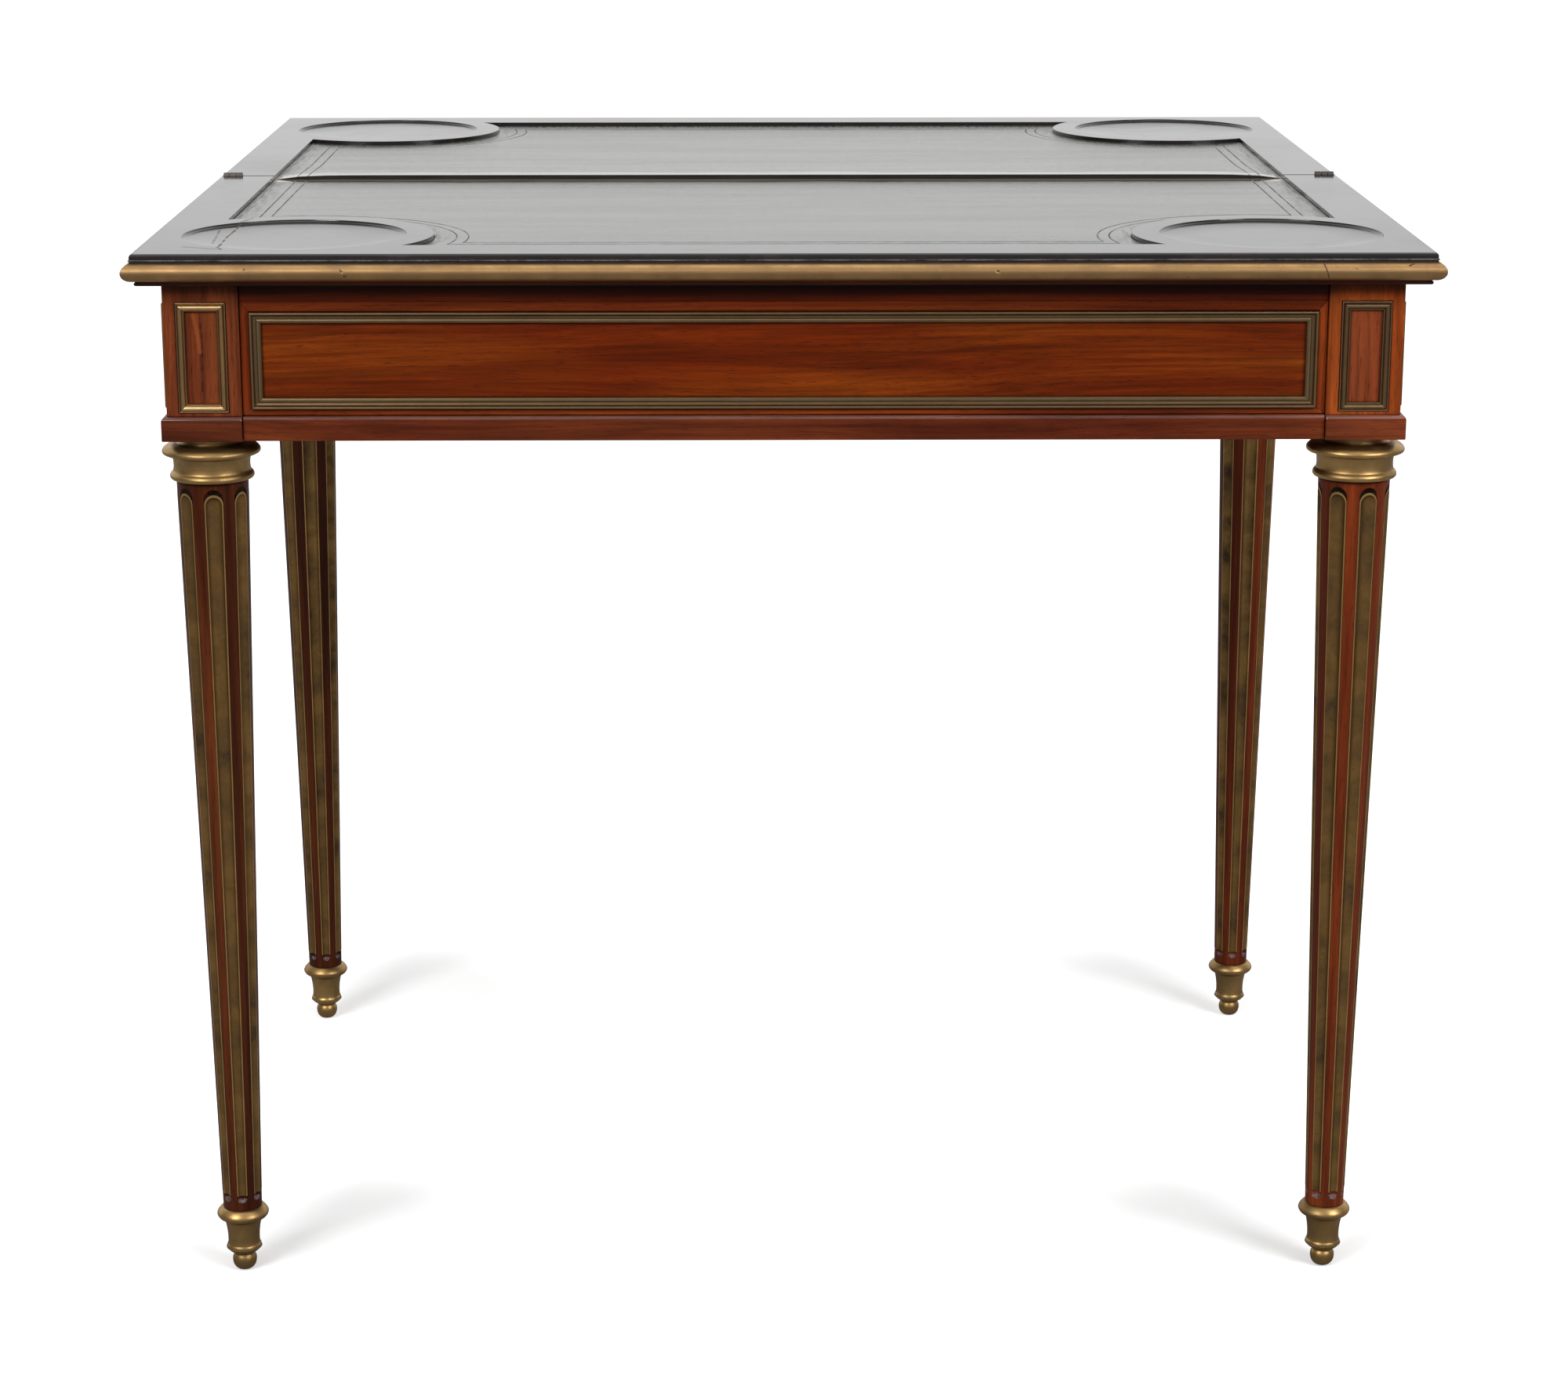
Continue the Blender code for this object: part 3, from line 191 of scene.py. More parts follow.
bpy.ops.object.select_all(action="DESELECT")
bpy.ops.mesh.primitive_plane_add(size=FLOOR_SIZE, location=(0, 0, -FLOOR_DROP))
floor = bpy.context.object
floor.name = "floor"
bpy.ops.object.transform_apply(location=True, rotation=True, scale=True)
paint = bpy.data.materials.new("floor_paint")
paint.use_nodes = True
tree = paint.node_tree
tree.nodes.clear()
ray = add_node(tree, "ShaderNodeLightPath").outputs
place = add_node(tree, "ShaderNodeTexCoord").outputs["Object"]
depth = split_up(tree, place)["Y"]
graded = mapped(tree, depth, *MIRROR_FADES, MIRROR_FRONT_SHARE, MIRROR_SHARE, smooth=True)
mirrored = mathed(tree, "MAXIMUM", ray["Is Glossy Ray"], ray["Is Transmission Ray"])
glow_with_painted_shadows = None
# around a spot behind each foot the glow is lower: a painted soft shadow beside the real one
for corner in CORNERS:
    low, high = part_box("sabot_" + corner)
    inward = -1 if corner.endswith("right") else 1
    spot = ((low.x + high.x) / 2 + inward * SHADOW_SHIFT[0], (low.y + high.y) / 2 + SHADOW_SHIFT[1], 0)
    far = vectored(tree, "DISTANCE", place, spot)
    near = mapped(tree, far, *GLOW_GROWS, GLOW_IN_PAINTED_SHADOW[corner.split("_")[0]], GLOW_FAR, smooth=True)
    glow_with_painted_shadows = near if glow_with_painted_shadows is None else mathed(tree, "MINIMUM", glow_with_painted_shadows, near)
shown = mathed(tree, "MAXIMUM", ray["Is Camera Ray"], mathed(tree, "MULTIPLY", mirrored, graded))
darker = mathed(tree, "MULTIPLY", mirrored, mathed(tree, "SUBTRACT", 1.0, graded))
grey = mathed(tree, "MULTIPLY", mathed(tree, "SUBTRACT", 1.0, darker), FLOOR_GREY)
paler = mathed(tree, "MULTIPLY", ray["Is Camera Ray"], FLOOR_SEEN - FLOOR_GREY)
grey = mathed(tree, "ADD", grey, paler)
matt = add_node(tree, "ShaderNodeBsdfDiffuse", inputs={"Color": grey})
glow = add_node(tree, "ShaderNodeEmission", inputs={"Strength": mathed(tree, "MULTIPLY", shown, glow_with_painted_shadows)})
both = add_node(tree, "ShaderNodeAddShader", inputs={0: matt.outputs[0], 1: glow.outputs[0]})
add_node(tree, "ShaderNodeOutputMaterial", inputs={"Surface": both.outputs[0]})
floor.data.materials.append(paint)
print("floor:", FLOOR_SIZE, "m")

# %% The lamps
LAMPS = {
    # name: (place, aim, width, height, watts)
    "lamp_above": ((0.0, -0.6, 3.2), (0.0, -0.1, 0.6), 2.4, 1.4, 19.0),
    "lamp_front_left": ((-1.9, -2.9, 2.6), (0.0, -0.3, 0.5), 1.3, 1.6, 78.0),
    "lamp_front_right": ((2.3, -2.6, 2.4), (0.0, -0.3, 0.5), 1.3, 1.6, 78.0),
}

for name, (place, aim, width, height, watts) in LAMPS.items():
    data = bpy.data.lights.new(name, "AREA")
    data.shape = "RECTANGLE"
    data.size = width
    data.size_y = height
    data.energy = watts
    lamp = bpy.data.objects.new(name, data)
    lamp.location = place
    lamp.rotation_euler = (Vector(aim) - Vector(place)).to_track_quat("-Z", "Y").to_euler()
    bpy.context.scene.collection.objects.link(lamp)
print("lamps:", len(LAMPS))

# %% [markdown]
# ## Shared surface effects
#
# Real surfaces differ from a flat colour in a few ways that come back on many materials: wood has
# fibres, figure and pores, brass has tarnish and fine scratches, and every hollow is darker, partly
# from dirt and partly from painted shade.
# Each effect is a node group, made once and placed in each material with its own values. A group
# only puts out masks; the shader itself stays in the material.

# %% A helper for node groups
def new_group(name, inputs, outputs):
    """An empty node group with its sockets, and its input and output nodes."""
    group = bpy.data.node_groups.new(name, "ShaderNodeTree")
    for socket, kind, value in inputs:
        made = group.interface.new_socket(name=socket, in_out="INPUT", socket_type=kind)
        if value is not None:
            made.default_value = value
    for socket, kind in outputs:
        group.interface.new_socket(name=socket, in_out="OUTPUT", socket_type=kind)
    given, put = group.nodes.new("NodeGroupInput"), group.nodes.new("NodeGroupOutput")
    return group, given.outputs, put.inputs


def noise(tree, place, scale, detail=3.0, roughness=0.5, distortion=0.0):
    """A Noise texture's value, about 0.5 on average."""
    inputs = {"Vector": place, "Scale": scale, "Detail": detail, "Roughness": roughness}
    inputs["Distortion"] = distortion
    return add_node(tree, "ShaderNodeTexNoise", inputs=inputs).outputs["Fac"]


def stretched(tree, place, along, across):
    """A place stretched so that a pattern runs long along X and fine across it."""
    return vectored(tree, "MULTIPLY", place, (along, across, across))


print("group helpers ready")

# %% Wood grain: figure, fibres, pores and streaks along X
BEND_REACH = 0.05

wood_grain, given, put = new_group(
    "wood grain",
    [("Place", "NodeSocketVector", None), ("Waviness", "NodeSocketFloat", 0.5)],
    [(name, "NodeSocketFloat") for name in ("Figure", "Fibres", "Pores", "Streaks")],
)
tree = wood_grain
bend = noise(tree, stretched(tree, given["Place"], 2.2, 9.0), 1.0, 1.0)
bend = mathed(tree, "MULTIPLY", mathed(tree, "SUBTRACT", bend, 0.5), given["Waviness"])
lift = vectored(tree, "SCALE", put_together(tree, 0.0, bend, bend), BEND_REACH)
wavy = vectored(tree, "ADD", given["Place"], lift)
GRAINS = {
    # mask: (stretch along, stretch across, detail, roughness, distortion, darkest, lightest)
    "Figure": (2.6, 58.0, 3.0, 0.55, 0.4, 0.30, 0.70),
    "Fibres": (16.0, 520.0, 3.0, 0.6, 0.0, 0.25, 0.75),
    "Pores": (95.0, 2300.0, 1.0, 0.5, 0.0, 0.60, 0.74),
    "Streaks": (5.0, 230.0, 3.0, 0.6, 0.2, 0.32, 0.68),
}
for mask, (along, across, detail, roughness, distortion, darkest, lightest) in GRAINS.items():
    pattern = noise(tree, stretched(tree, wavy, along, across), 1.0, detail, roughness, distortion)
    tree.links.new(mapped(tree, pattern, darkest, lightest), put[mask])
print("wood grain nodes:", len(tree.nodes))

# %% Painted shade and dirt in hollows, found by ambient occlusion
hollow_shade_and_dirt, given, put = new_group(
    "hollow shade and dirt",
    [("Place", "NodeSocketVector", None), ("Reach", "NodeSocketFloat", 0.004)],
    [("Shade and dirt", "NodeSocketFloat")],
)
tree = hollow_shade_and_dirt
reach = {"Distance": given["Reach"]}
# darker where ambient occlusion finds the surface closed in: painted shade, and dirt
open_air = add_node(tree, "ShaderNodeAmbientOcclusion", samples=6, only_local=False, inputs=reach)
closed = mapped(tree, open_air.outputs["AO"], 0.45, 0.95, 1.0, 0.0)
uneven = mapped(tree, noise(tree, given["Place"], 260.0, 3.0, 0.6), 0.3, 0.7, 0.55, 1.0)
tree.links.new(mathed(tree, "MULTIPLY", closed, uneven, clamp=True), put["Shade and dirt"])
print("hollow shade and dirt nodes:", len(tree.nodes))

# %% Tarnish and scratches on metal
metal_wear, given, put = new_group(
    "metal wear",
    [("Place", "NodeSocketVector", None)],
    [(name, "NodeSocketFloat") for name in ("Tarnish", "Spots", "Scratches")],
)
tree = metal_wear
clouds = noise(tree, given["Place"], 34.0, 4.0, 0.6, 0.3)
tree.links.new(mapped(tree, clouds, 0.38, 0.68), put["Tarnish"])
tree.links.new(mapped(tree, noise(tree, given["Place"], 420.0, 2.0, 0.5), 0.66, 0.76), put["Spots"])
lines = noise(tree, stretched(tree, given["Place"], 90.0, 1500.0), 1.0, 2.0, 0.6)
tree.links.new(mapped(tree, lines, 0.35, 0.7), put["Scratches"])
print("metal wear nodes:", len(tree.nodes))

# %% [markdown]
# ## The finishes
#
# Mahogany is cut in strips, and each strip's grain runs along it, so the same finish is made for
# each direction of the grain. A Mapping node turns the place so that the grain always lies along
# X inside the group. The polish is a thin clear coat over the wood.

# %% A helper for materials
def new_material(name):
    """A material with a Principled shader, its node tree and its place in metres."""
    material = bpy.data.materials.new(name)
    material.use_nodes = True
    tree = material.node_tree
    shader = tree.nodes["Principled BSDF"]
    place = add_node(tree, "ShaderNodeTexCoord").outputs["Object"]
    return material, tree, shader, place


def grouped(tree, group, **inputs):
    """A group node's outputs, with its named inputs set."""
    return add_node(tree, "ShaderNodeGroup", node_tree=group, inputs=inputs).outputs


def bumped(tree, shader, height, distance, strength=1.0):
    """Drives the shader's normal by a height between 0 and 1, in metres."""
    inputs = {"Height": height, "Distance": distance, "Strength": strength}
    bump = add_node(tree, "ShaderNodeBump", inputs=inputs)
    tree.links.new(bump.outputs[0], shader.inputs["Normal"])


print("material helpers ready")

# %% A mark along a line, for a crack or a scratch
def seen_from_front(tree, place):
    """The X and Z of a place as a flat place, for marks on a face that looks to the front."""
    where = split_up(tree, place)
    return put_together(tree, where["X"], where["Z"])


def marked(tree, place, points, half_width, wander=0.0):
    """A mask that is 1 along a line through points in the XY plane, and 0 off it."""
    flat = vectored(tree, "MULTIPLY", place, (1, 1, 0))
    nearest = None
    for start, end in zip(points, points[1:]):
        run = Vector((*end, 0)) - Vector((*start, 0))
        out = vectored(tree, "SUBTRACT", flat, (*start, 0))
        share = vectored(tree, "DOT_PRODUCT", out, run / run.length_squared)
        share = mathed(tree, "MULTIPLY", share, 1.0, clamp=True)
        off = vectored(tree, "DISTANCE", out, vectored(tree, "SCALE", run, share))
        nearest = off if nearest is None else mathed(tree, "MINIMUM", nearest, off)
    if wander:
        drift = mathed(tree, "SUBTRACT", noise(tree, place, 190.0, 3.0, 0.6), 0.5)
        drift = mathed(tree, "MULTIPLY", drift, wander)
        nearest = mathed(tree, "ABSOLUTE", mathed(tree, "ADD", nearest, drift))
    return mapped(tree, nearest, half_width * 0.4, half_width, 1.0, 0.0)


print("marks ready")

# %% Mahogany
FIELD_SPLIT = [(-0.3968, 0.7095), (-0.3960, 0.6958), (-0.3957, 0.6788), (-0.3966, 0.6560)]
FIELD_STREAK = [(-0.4007, 0.7080), (-0.3988, 0.6958), (-0.3970, 0.6830)]
SPLIT_HALF, STREAK_HALF, MARK_WANDERS = 0.0006, 0.0020, 0.003
SPLIT_TONE, STREAK_TONE = (0.018, 0.008, 0.007, 1), (0.330, 0.085, 0.022, 1)
PORE_TONE, WOOD_SHADE_AND_DIRT_TONE = (0.02, 0.004, 0.002, 1), (0.008, 0.002, 0.001, 1)
WOOD_SHADE_AND_DIRT_REACH = 0.0016
# painted light: the tone grows lighter towards the right end, from this x to that one, by this factor
RIGHT_LIT_FROM, RIGHT_LIT_TO, RIGHT_LIT_TONE = 0.33, 0.424, 1.6
WOOD_GLOSS, POLISH_ROUGHNESS, WOOD_BUMP = 0.06, 0.12, 0.00006


def mahogany(name, turn, deep, body, bright, waviness=0.5, coat=0.10, under=None, cracked=False):
    """French-polished mahogany: its grain along one axis, three tones, painted lighter at the right."""
    material, tree, shader, place = new_material(name)
    along = add_node(tree, "ShaderNodeMapping", inputs={"Vector": place, "Rotation": turn}).outputs[0]
    grain = grouped(tree, wood_grain, Place=along, Waviness=waviness)
    colour = mixed(tree, grain["Figure"], (*deep, 1), (*body, 1))
    glints = mapped(tree, noise(tree, stretched(tree, along, 3.0, 21.0), 1.0, 2.0), 0.45, 0.75)
    colour = mixed(tree, mathed(tree, "MULTIPLY", glints, grain["Figure"]), colour, (*bright, 1))
    fibrous = mapped(tree, grain["Fibres"], 0.0, 1.0, 0.74, 1.20)
    tone = mathed(tree, "MULTIPLY", fibrous, mapped(tree, grain["Streaks"], 0.0, 1.0, 0.66, 1.26))
    where = split_up(tree, place)
    # painted light: the tone grows lighter towards the right-hand end of the table
    graded = mapped(tree, where["X"], RIGHT_LIT_FROM, RIGHT_LIT_TO, 1.0, RIGHT_LIT_TONE, smooth=True)
    tone = mathed(tree, "MULTIPLY", tone, graded)
    # painted shadow: the tone darkens towards the underside of the top
    if under:
        shadow_from, shadow_to, shadow_tone = under
        shadowed = mapped(tree, where["Z"], shadow_from, shadow_to, 1.0, shadow_tone)
        tone = mathed(tree, "MULTIPLY", tone, shadowed)
    tone = add_node(tree, "ShaderNodeCombineColor", inputs={0: tone, 1: tone, 2: tone}).outputs[0]
    colour = mixed(tree, 1.0, colour, tone, "MULTIPLY")
    colour = mixed(tree, mathed(tree, "MULTIPLY", grain["Pores"], 0.6), colour, PORE_TONE)
    # hollows darkened towards near black: painted shade, and dirt
    shade_and_dirt = grouped(tree, hollow_shade_and_dirt, Place=place, Reach=WOOD_SHADE_AND_DIRT_REACH)["Shade and dirt"]
    colour = mixed(tree, mathed(tree, "MULTIPLY", shade_and_dirt, 0.7), colour, WOOD_SHADE_AND_DIRT_TONE)
    if cracked:
        flat = seen_from_front(tree, place)
        split = marked(tree, flat, FIELD_SPLIT, SPLIT_HALF, MARK_WANDERS)
        pale = marked(tree, flat, FIELD_STREAK, STREAK_HALF, MARK_WANDERS)
        colour = mixed(tree, mathed(tree, "MULTIPLY", pale, 0.5), colour, STREAK_TONE)
        colour = mixed(tree, mathed(tree, "MULTIPLY", split, 0.75), colour, SPLIT_TONE)
    tree.links.new(colour, shader.inputs["Base Color"])
    rough = mapped(tree, noise(tree, place, 55.0, 3.0), 0.3, 0.7, 0.30, 0.44)
    tree.links.new(rough, shader.inputs["Roughness"])
    shader.inputs["Specular IOR Level"].default_value = WOOD_GLOSS
    shader.inputs["Coat Weight"].default_value = coat
    shader.inputs["Coat Roughness"].default_value = POLISH_ROUGHNESS
    height = mathed(tree, "SUBTRACT", mathed(tree, "MULTIPLY", grain["Fibres"], 0.4), grain["Pores"])
    bumped(tree, shader, height, WOOD_BUMP)
    return material


print("a maker of mahogany finishes is ready")

# %% The mahogany of each kind of piece
ALONG_X, ALONG_Y, ALONG_Z = (0, 0, 0), (0, 0, math.pi / 2), (0, math.pi / 2, 0)
TONES = {
    # kind of piece: (deep, body, bright)
    "board": ((0.070, 0.0105, 0.0024), (0.122, 0.0200, 0.0040), (0.200, 0.040, 0.0075)),
    # painted shade: the lip under each leaf's edge is made nearly black
    "lip": ((0.020, 0.0060, 0.0040), (0.034, 0.0100, 0.0060), (0.060, 0.018, 0.0100)),
    "rail": ((0.130, 0.0150, 0.0026), (0.215, 0.0270, 0.0042), (0.330, 0.055, 0.0075)),
    "strip": ((0.130, 0.0180, 0.0030), (0.240, 0.0360, 0.0050), (0.380, 0.078, 0.0120)),
    "plinth": ((0.084, 0.0128, 0.0034), (0.127, 0.0205, 0.0050), (0.188, 0.042, 0.0110)),
    "block_foot": ((0.062, 0.0100, 0.0034), (0.096, 0.0165, 0.0050), (0.150, 0.035, 0.0105)),
    "panel": ((0.104, 0.0115, 0.0008), (0.155, 0.0190, 0.0010), (0.270, 0.056, 0.0036)),
    "block": ((0.095, 0.0180, 0.0060), (0.180, 0.0390, 0.0120), (0.330, 0.095, 0.0250)),
    # painted light: a lighter copy of the block's wood for the right-hand blocks
    "lit_block": ((0.160, 0.0270, 0.0045), (0.260, 0.0520, 0.0085), (0.400, 0.110, 0.0180)),
    "leg": ((0.060, 0.0095, 0.0030), (0.135, 0.0225, 0.0045), (0.230, 0.048, 0.0110)),
    # painted shade: a darker copy of the leg wood for the left-hand legs
    "shaded_leg": ((0.036, 0.0075, 0.0026), (0.084, 0.0170, 0.0042), (0.150, 0.036, 0.0095)),
    # painted highlight: a pale glossy tone for the rolled top edges of the plinths and blocks
    "roll": ((0.105, 0.0380, 0.0270), (0.155, 0.0580, 0.0420), (0.220, 0.092, 0.0680)),
}
# painted shadow under the top's overhang: from this height, to this one, down to this share of the tone
SHADOW_UNDER_TOP = (0.7100, 0.7262, 0.10)
SHADOW_UNDER_TOP_BLOCK = (0.7230, 0.7290, 0.30)
SHADOW_UNDER_TOP_LIT_BLOCK = (0.7190, 0.7285, 0.25)
WOODS = {
    # name: (direction of the grain, tones, what else it has)
    "board_x": (ALONG_X, "board", {}),
    "rail_x": (ALONG_X, "rail", {"under": SHADOW_UNDER_TOP}),
    "rail_y": (ALONG_Y, "rail", {"under": SHADOW_UNDER_TOP}),
    "strip_x": (ALONG_X, "strip", {"under": SHADOW_UNDER_TOP}),
    "strip_y": (ALONG_Y, "strip", {"under": SHADOW_UNDER_TOP}),
    "strip_z": (ALONG_Z, "strip", {}),
    "plinth_x": (ALONG_X, "plinth", {"waviness": 0.8, "coat": 0.20}),
    "plinth_y": (ALONG_Y, "plinth", {"waviness": 0.8, "coat": 0.20}),
    "block_foot": (ALONG_X, "block_foot", {"waviness": 0.8, "coat": 0.20}),
    "panel_x": (ALONG_X, "panel", {"waviness": 1.1}),
    "panel_y": (ALONG_Y, "panel", {"waviness": 1.1}),
    "lip": (ALONG_X, "lip", {"waviness": 0.3}),
    "roll_x": (ALONG_X, "roll", {"waviness": 0.8, "coat": 1.0}),
    "roll_y": (ALONG_Y, "roll", {"waviness": 0.8, "coat": 1.0}),
    "leg": (ALONG_Z, "leg", {"waviness": 0.3}),
    "shaded_leg": (ALONG_Z, "shaded_leg", {"waviness": 0.3}),
    "block": (ALONG_Z, "block", {"waviness": 0.9, "under": SHADOW_UNDER_TOP_BLOCK}),
    "lit_block": (ALONG_Z, "lit_block", {"waviness": 0.9, "under": SHADOW_UNDER_TOP_LIT_BLOCK}),
    "field": (ALONG_Z, "block", {"waviness": 0.9}),
    "split": (ALONG_Z, "block", {"waviness": 0.9, "cracked": True}),
}
wood = {}
for name, (turn, tones, more) in WOODS.items():
    wood[name] = mahogany("mahogany_" + name, turn, *TONES[tones], **more)
print("mahogany finishes:", len(wood))

# %% Painted highlight and painted shade in the ends of each flute
def painted_light_on_wood(name, deep, pale):
    """Speckled wood between two colours; one copy paints a highlight, the other shade."""
    material, tree, shader, place = new_material(name)
    speckle = mapped(tree, noise(tree, place, 900.0, 3.0, 0.6), 0.42, 0.68)
    colour = mixed(tree, speckle, (*deep, 1), (*pale, 1))
    tree.links.new(colour, shader.inputs["Base Color"])
    tree.links.new(mapped(tree, speckle, 0.0, 1.0, 0.25, 0.5), shader.inputs["Roughness"])
    bumped(tree, shader, speckle, 0.0002)
    return material


painted_highlight_wood = painted_light_on_wood("painted_highlight_wood", (0.045, 0.016, 0.014), (0.26, 0.21, 0.24))
painted_shade_wood = painted_light_on_wood("painted_shade_wood", (0.014, 0.007, 0.004), (0.055, 0.030, 0.018))
print("flute end nodes:", len(painted_highlight_wood.node_tree.nodes))

# %% Inner wood of the sliding frame
OAK_DEEP, OAK_BODY = (0.135, 0.070, 0.032, 1), (0.250, 0.140, 0.066, 1)
OAK_FIBRE, OAK_PORE = (0.300, 0.185, 0.095, 1), (0.045, 0.022, 0.010, 1)
OAK_SHADE_AND_DIRT, OAK_SHADE_AND_DIRT_REACH = (0.03, 0.018, 0.010, 1), 0.012


def inner_oak(name, turn):
    """Plain oak that was never polished, darkened by age."""
    material, tree, shader, place = new_material(name)
    along = add_node(tree, "ShaderNodeMapping", inputs={"Vector": place, "Rotation": turn}).outputs[0]
    grain = grouped(tree, wood_grain, Place=along, Waviness=0.4)
    colour = mixed(tree, grain["Figure"], OAK_DEEP, OAK_BODY)
    colour = mixed(tree, mathed(tree, "MULTIPLY", grain["Fibres"], 0.5), colour, OAK_FIBRE)
    colour = mixed(tree, mathed(tree, "MULTIPLY", grain["Pores"], 0.8), colour, OAK_PORE)
    # hollows darkened: painted shade, and dirt
    shade_and_dirt = grouped(tree, hollow_shade_and_dirt, Place=place, Reach=OAK_SHADE_AND_DIRT_REACH)["Shade and dirt"]
    colour = mixed(tree, mathed(tree, "MULTIPLY", shade_and_dirt, 0.7), colour, OAK_SHADE_AND_DIRT)
    tree.links.new(colour, shader.inputs["Base Color"])
    tree.links.new(mapped(tree, grain["Fibres"], 0.0, 1.0, 0.55, 0.75), shader.inputs["Roughness"])
    bumped(tree, shader, mathed(tree, "SUBTRACT", grain["Fibres"], grain["Pores"]), 0.00015)
    return material


oak_x = inner_oak("oak_x", ALONG_X)
oak_y = inner_oak("oak_y", ALONG_Y)
print("oak finishes: 2")

# %% [markdown]
# ## Lacquer and leather
#
# Both are nearly black or dark green when seen from above and pale when seen along the surface.
# That change is the plain Fresnel reflection of a smooth surface, so it needs no colour trick: a
# low roughness and the white wall behind the table make it. The leather is a little rougher, has
# fine creases, two tooled lines that follow its edge, dark worn patches near its sides and a pale
# rubbed band at the joint.

# %% Lacquer
WELL_CRACK = [
    (-0.3808, -0.2559), (-0.3864, -0.2770), (-0.3884, -0.3344), (-0.3866, -0.4009), (-0.3800, -0.4180)
]
FAINT_CRACK = [(-0.3979, -0.3018), (-0.3937, -0.3661)]
STAIN = [(-0.4074, -0.4031), (-0.3840, -0.4148)]
LACQUER_DEEP, LACQUER_BODY = (0.013, 0.010, 0.011, 1), (0.024, 0.017, 0.016, 1)
LACQUER_SCUFF, LACQUER_CRACK = (0.045, 0.034, 0.030, 1), (0.045, 0.030, 0.014, 1)
LACQUER_IOR = 1.51


def lacquer_finish():
    """Nearly black lacquer with a faint brown body, soft scuffs and smudges."""
    material, tree, shader, place = new_material("lacquer")
    smudges = mapped(tree, noise(tree, place, 9.0, 4.0, 0.6, 0.5), 0.42, 0.72)
    scuffs = mapped(tree, noise(tree, stretched(tree, place, 40.0, 160.0), 1.0, 4.0, 0.6), 0.58, 0.74)
    colour = mixed(tree, smudges, LACQUER_DEEP, LACQUER_BODY)
    colour = mixed(tree, mathed(tree, "MULTIPLY", scuffs, 0.5), colour, LACQUER_SCUFF)
    cracks = marked(tree, place, WELL_CRACK, 0.0007, 0.004)
    faint = mathed(tree, "MULTIPLY", marked(tree, place, FAINT_CRACK, 0.0010, 0.004), 0.4)
    stain = mathed(tree, "MULTIPLY", marked(tree, place, STAIN, 0.0035, 0.006), 0.25)
    marks = mathed(tree, "MAXIMUM", cracks, mathed(tree, "MAXIMUM", faint, stain))
    colour = mixed(tree, marks, colour, LACQUER_CRACK)
    tree.links.new(colour, shader.inputs["Base Color"])
    rough = mapped(tree, smudges, 0.0, 1.0, 0.11, 0.17)
    rough = mathed(tree, "ADD", rough, mathed(tree, "MULTIPLY", scuffs, 0.05))
    rough = mathed(tree, "ADD", rough, mathed(tree, "MULTIPLY", marks, 0.5))
    tree.links.new(rough, shader.inputs["Roughness"])
    shader.inputs["IOR"].default_value = LACQUER_IOR
    bumped(tree, shader, noise(tree, stretched(tree, place, 14.0, 70.0), 1.0, 3.0), 0.00002)
    return material


# painted highlight: the grey of the bead's crest
BEAD_DEEP, BEAD_HIGHLIGHT = (0.014, 0.011, 0.013, 1), (0.105, 0.098, 0.090, 1)


def bead_highlight_finish():
    """The lacquered bead above the brass, painted grey along its crest as a highlight."""
    material, tree, shader, place = new_material("bead_highlight")
    broken = mapped(tree, noise(tree, stretched(tree, place, 60.0, 60.0), 1.0, 4.0, 0.7), 0.36, 0.60)
    colour = mixed(tree, broken, BEAD_DEEP, BEAD_HIGHLIGHT)
    tree.links.new(colour, shader.inputs["Base Color"])
    tree.links.new(mapped(tree, broken, 0.0, 1.0, 0.16, 0.34), shader.inputs["Roughness"])
    bumped(tree, shader, broken, 0.00005)
    return material


lacquer = lacquer_finish()
bead_highlight = bead_highlight_finish()
print("lacquer nodes:", len(lacquer.node_tree.nodes))

# %% The leather's outline in numbers
LEATHER_LOW, LEATHER_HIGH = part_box("front_leather")
LEATHER_SIDE, LEATHER_END = LEATHER_HIGH.x, -LEATHER_LOW.y
BORDER_LOW, BORDER_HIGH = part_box("front_leaf_border")
ROUNDEL_OFFSET, ROUNDEL_RADIUS = 0.098, 0.097
ROUNDEL_X = BORDER_HIGH.x - ROUNDEL_OFFSET
ROUNDEL_Y = -BORDER_LOW.y - ROUNDEL_OFFSET
print("roundels stand at:", round(ROUNDEL_X, 4), round(ROUNDEL_Y, 4))

# %% The tooled lines as a distance from the leather's edge
TOOLED_LINES = (0.0178, 0.0260)
ARC_INSET, FRONT_INSET = 0.0948, 0.0074
LINE_HALF, LINE_FADES = 0.00030, 0.00078
HAIR = 0.000001

tooled_edge, given, put = new_group(
    "tooled edge",
    [("Place", "NodeSocketVector", None)],
    [("Line", "NodeSocketFloat"), ("Edge", "NodeSocketFloat")],
)
tree = tooled_edge
split = split_up(tree, given["Place"])
across = mathed(tree, "ABSOLUTE", split["X"])
along = mathed(tree, "ABSOLUTE", split["Y"])
from_side = mathed(tree, "SUBTRACT", LEATHER_SIDE, across)
from_end = mathed(tree, "SUBTRACT", LEATHER_END - FRONT_INSET, along)
from_centre = vectored(tree, "DISTANCE", put_together(tree, across, along), (ROUNDEL_X, ROUNDEL_Y, 0))
from_corner = mathed(tree, "SUBTRACT", from_centre, ARC_INSET)
edge = mathed(tree, "MINIMUM", mathed(tree, "MINIMUM", from_side, from_end), from_corner)
steep = mathed(tree, "DIVIDE", mathed(tree, "SUBTRACT", along, ROUNDEL_Y), from_centre)
steep = mathed(tree, "MULTIPLY", steep, steep)
on_end = mathed(tree, "LESS_THAN", from_end, mathed(tree, "ADD", edge, HAIR))
on_arc = mathed(tree, "LESS_THAN", from_corner, mathed(tree, "ADD", edge, HAIR))
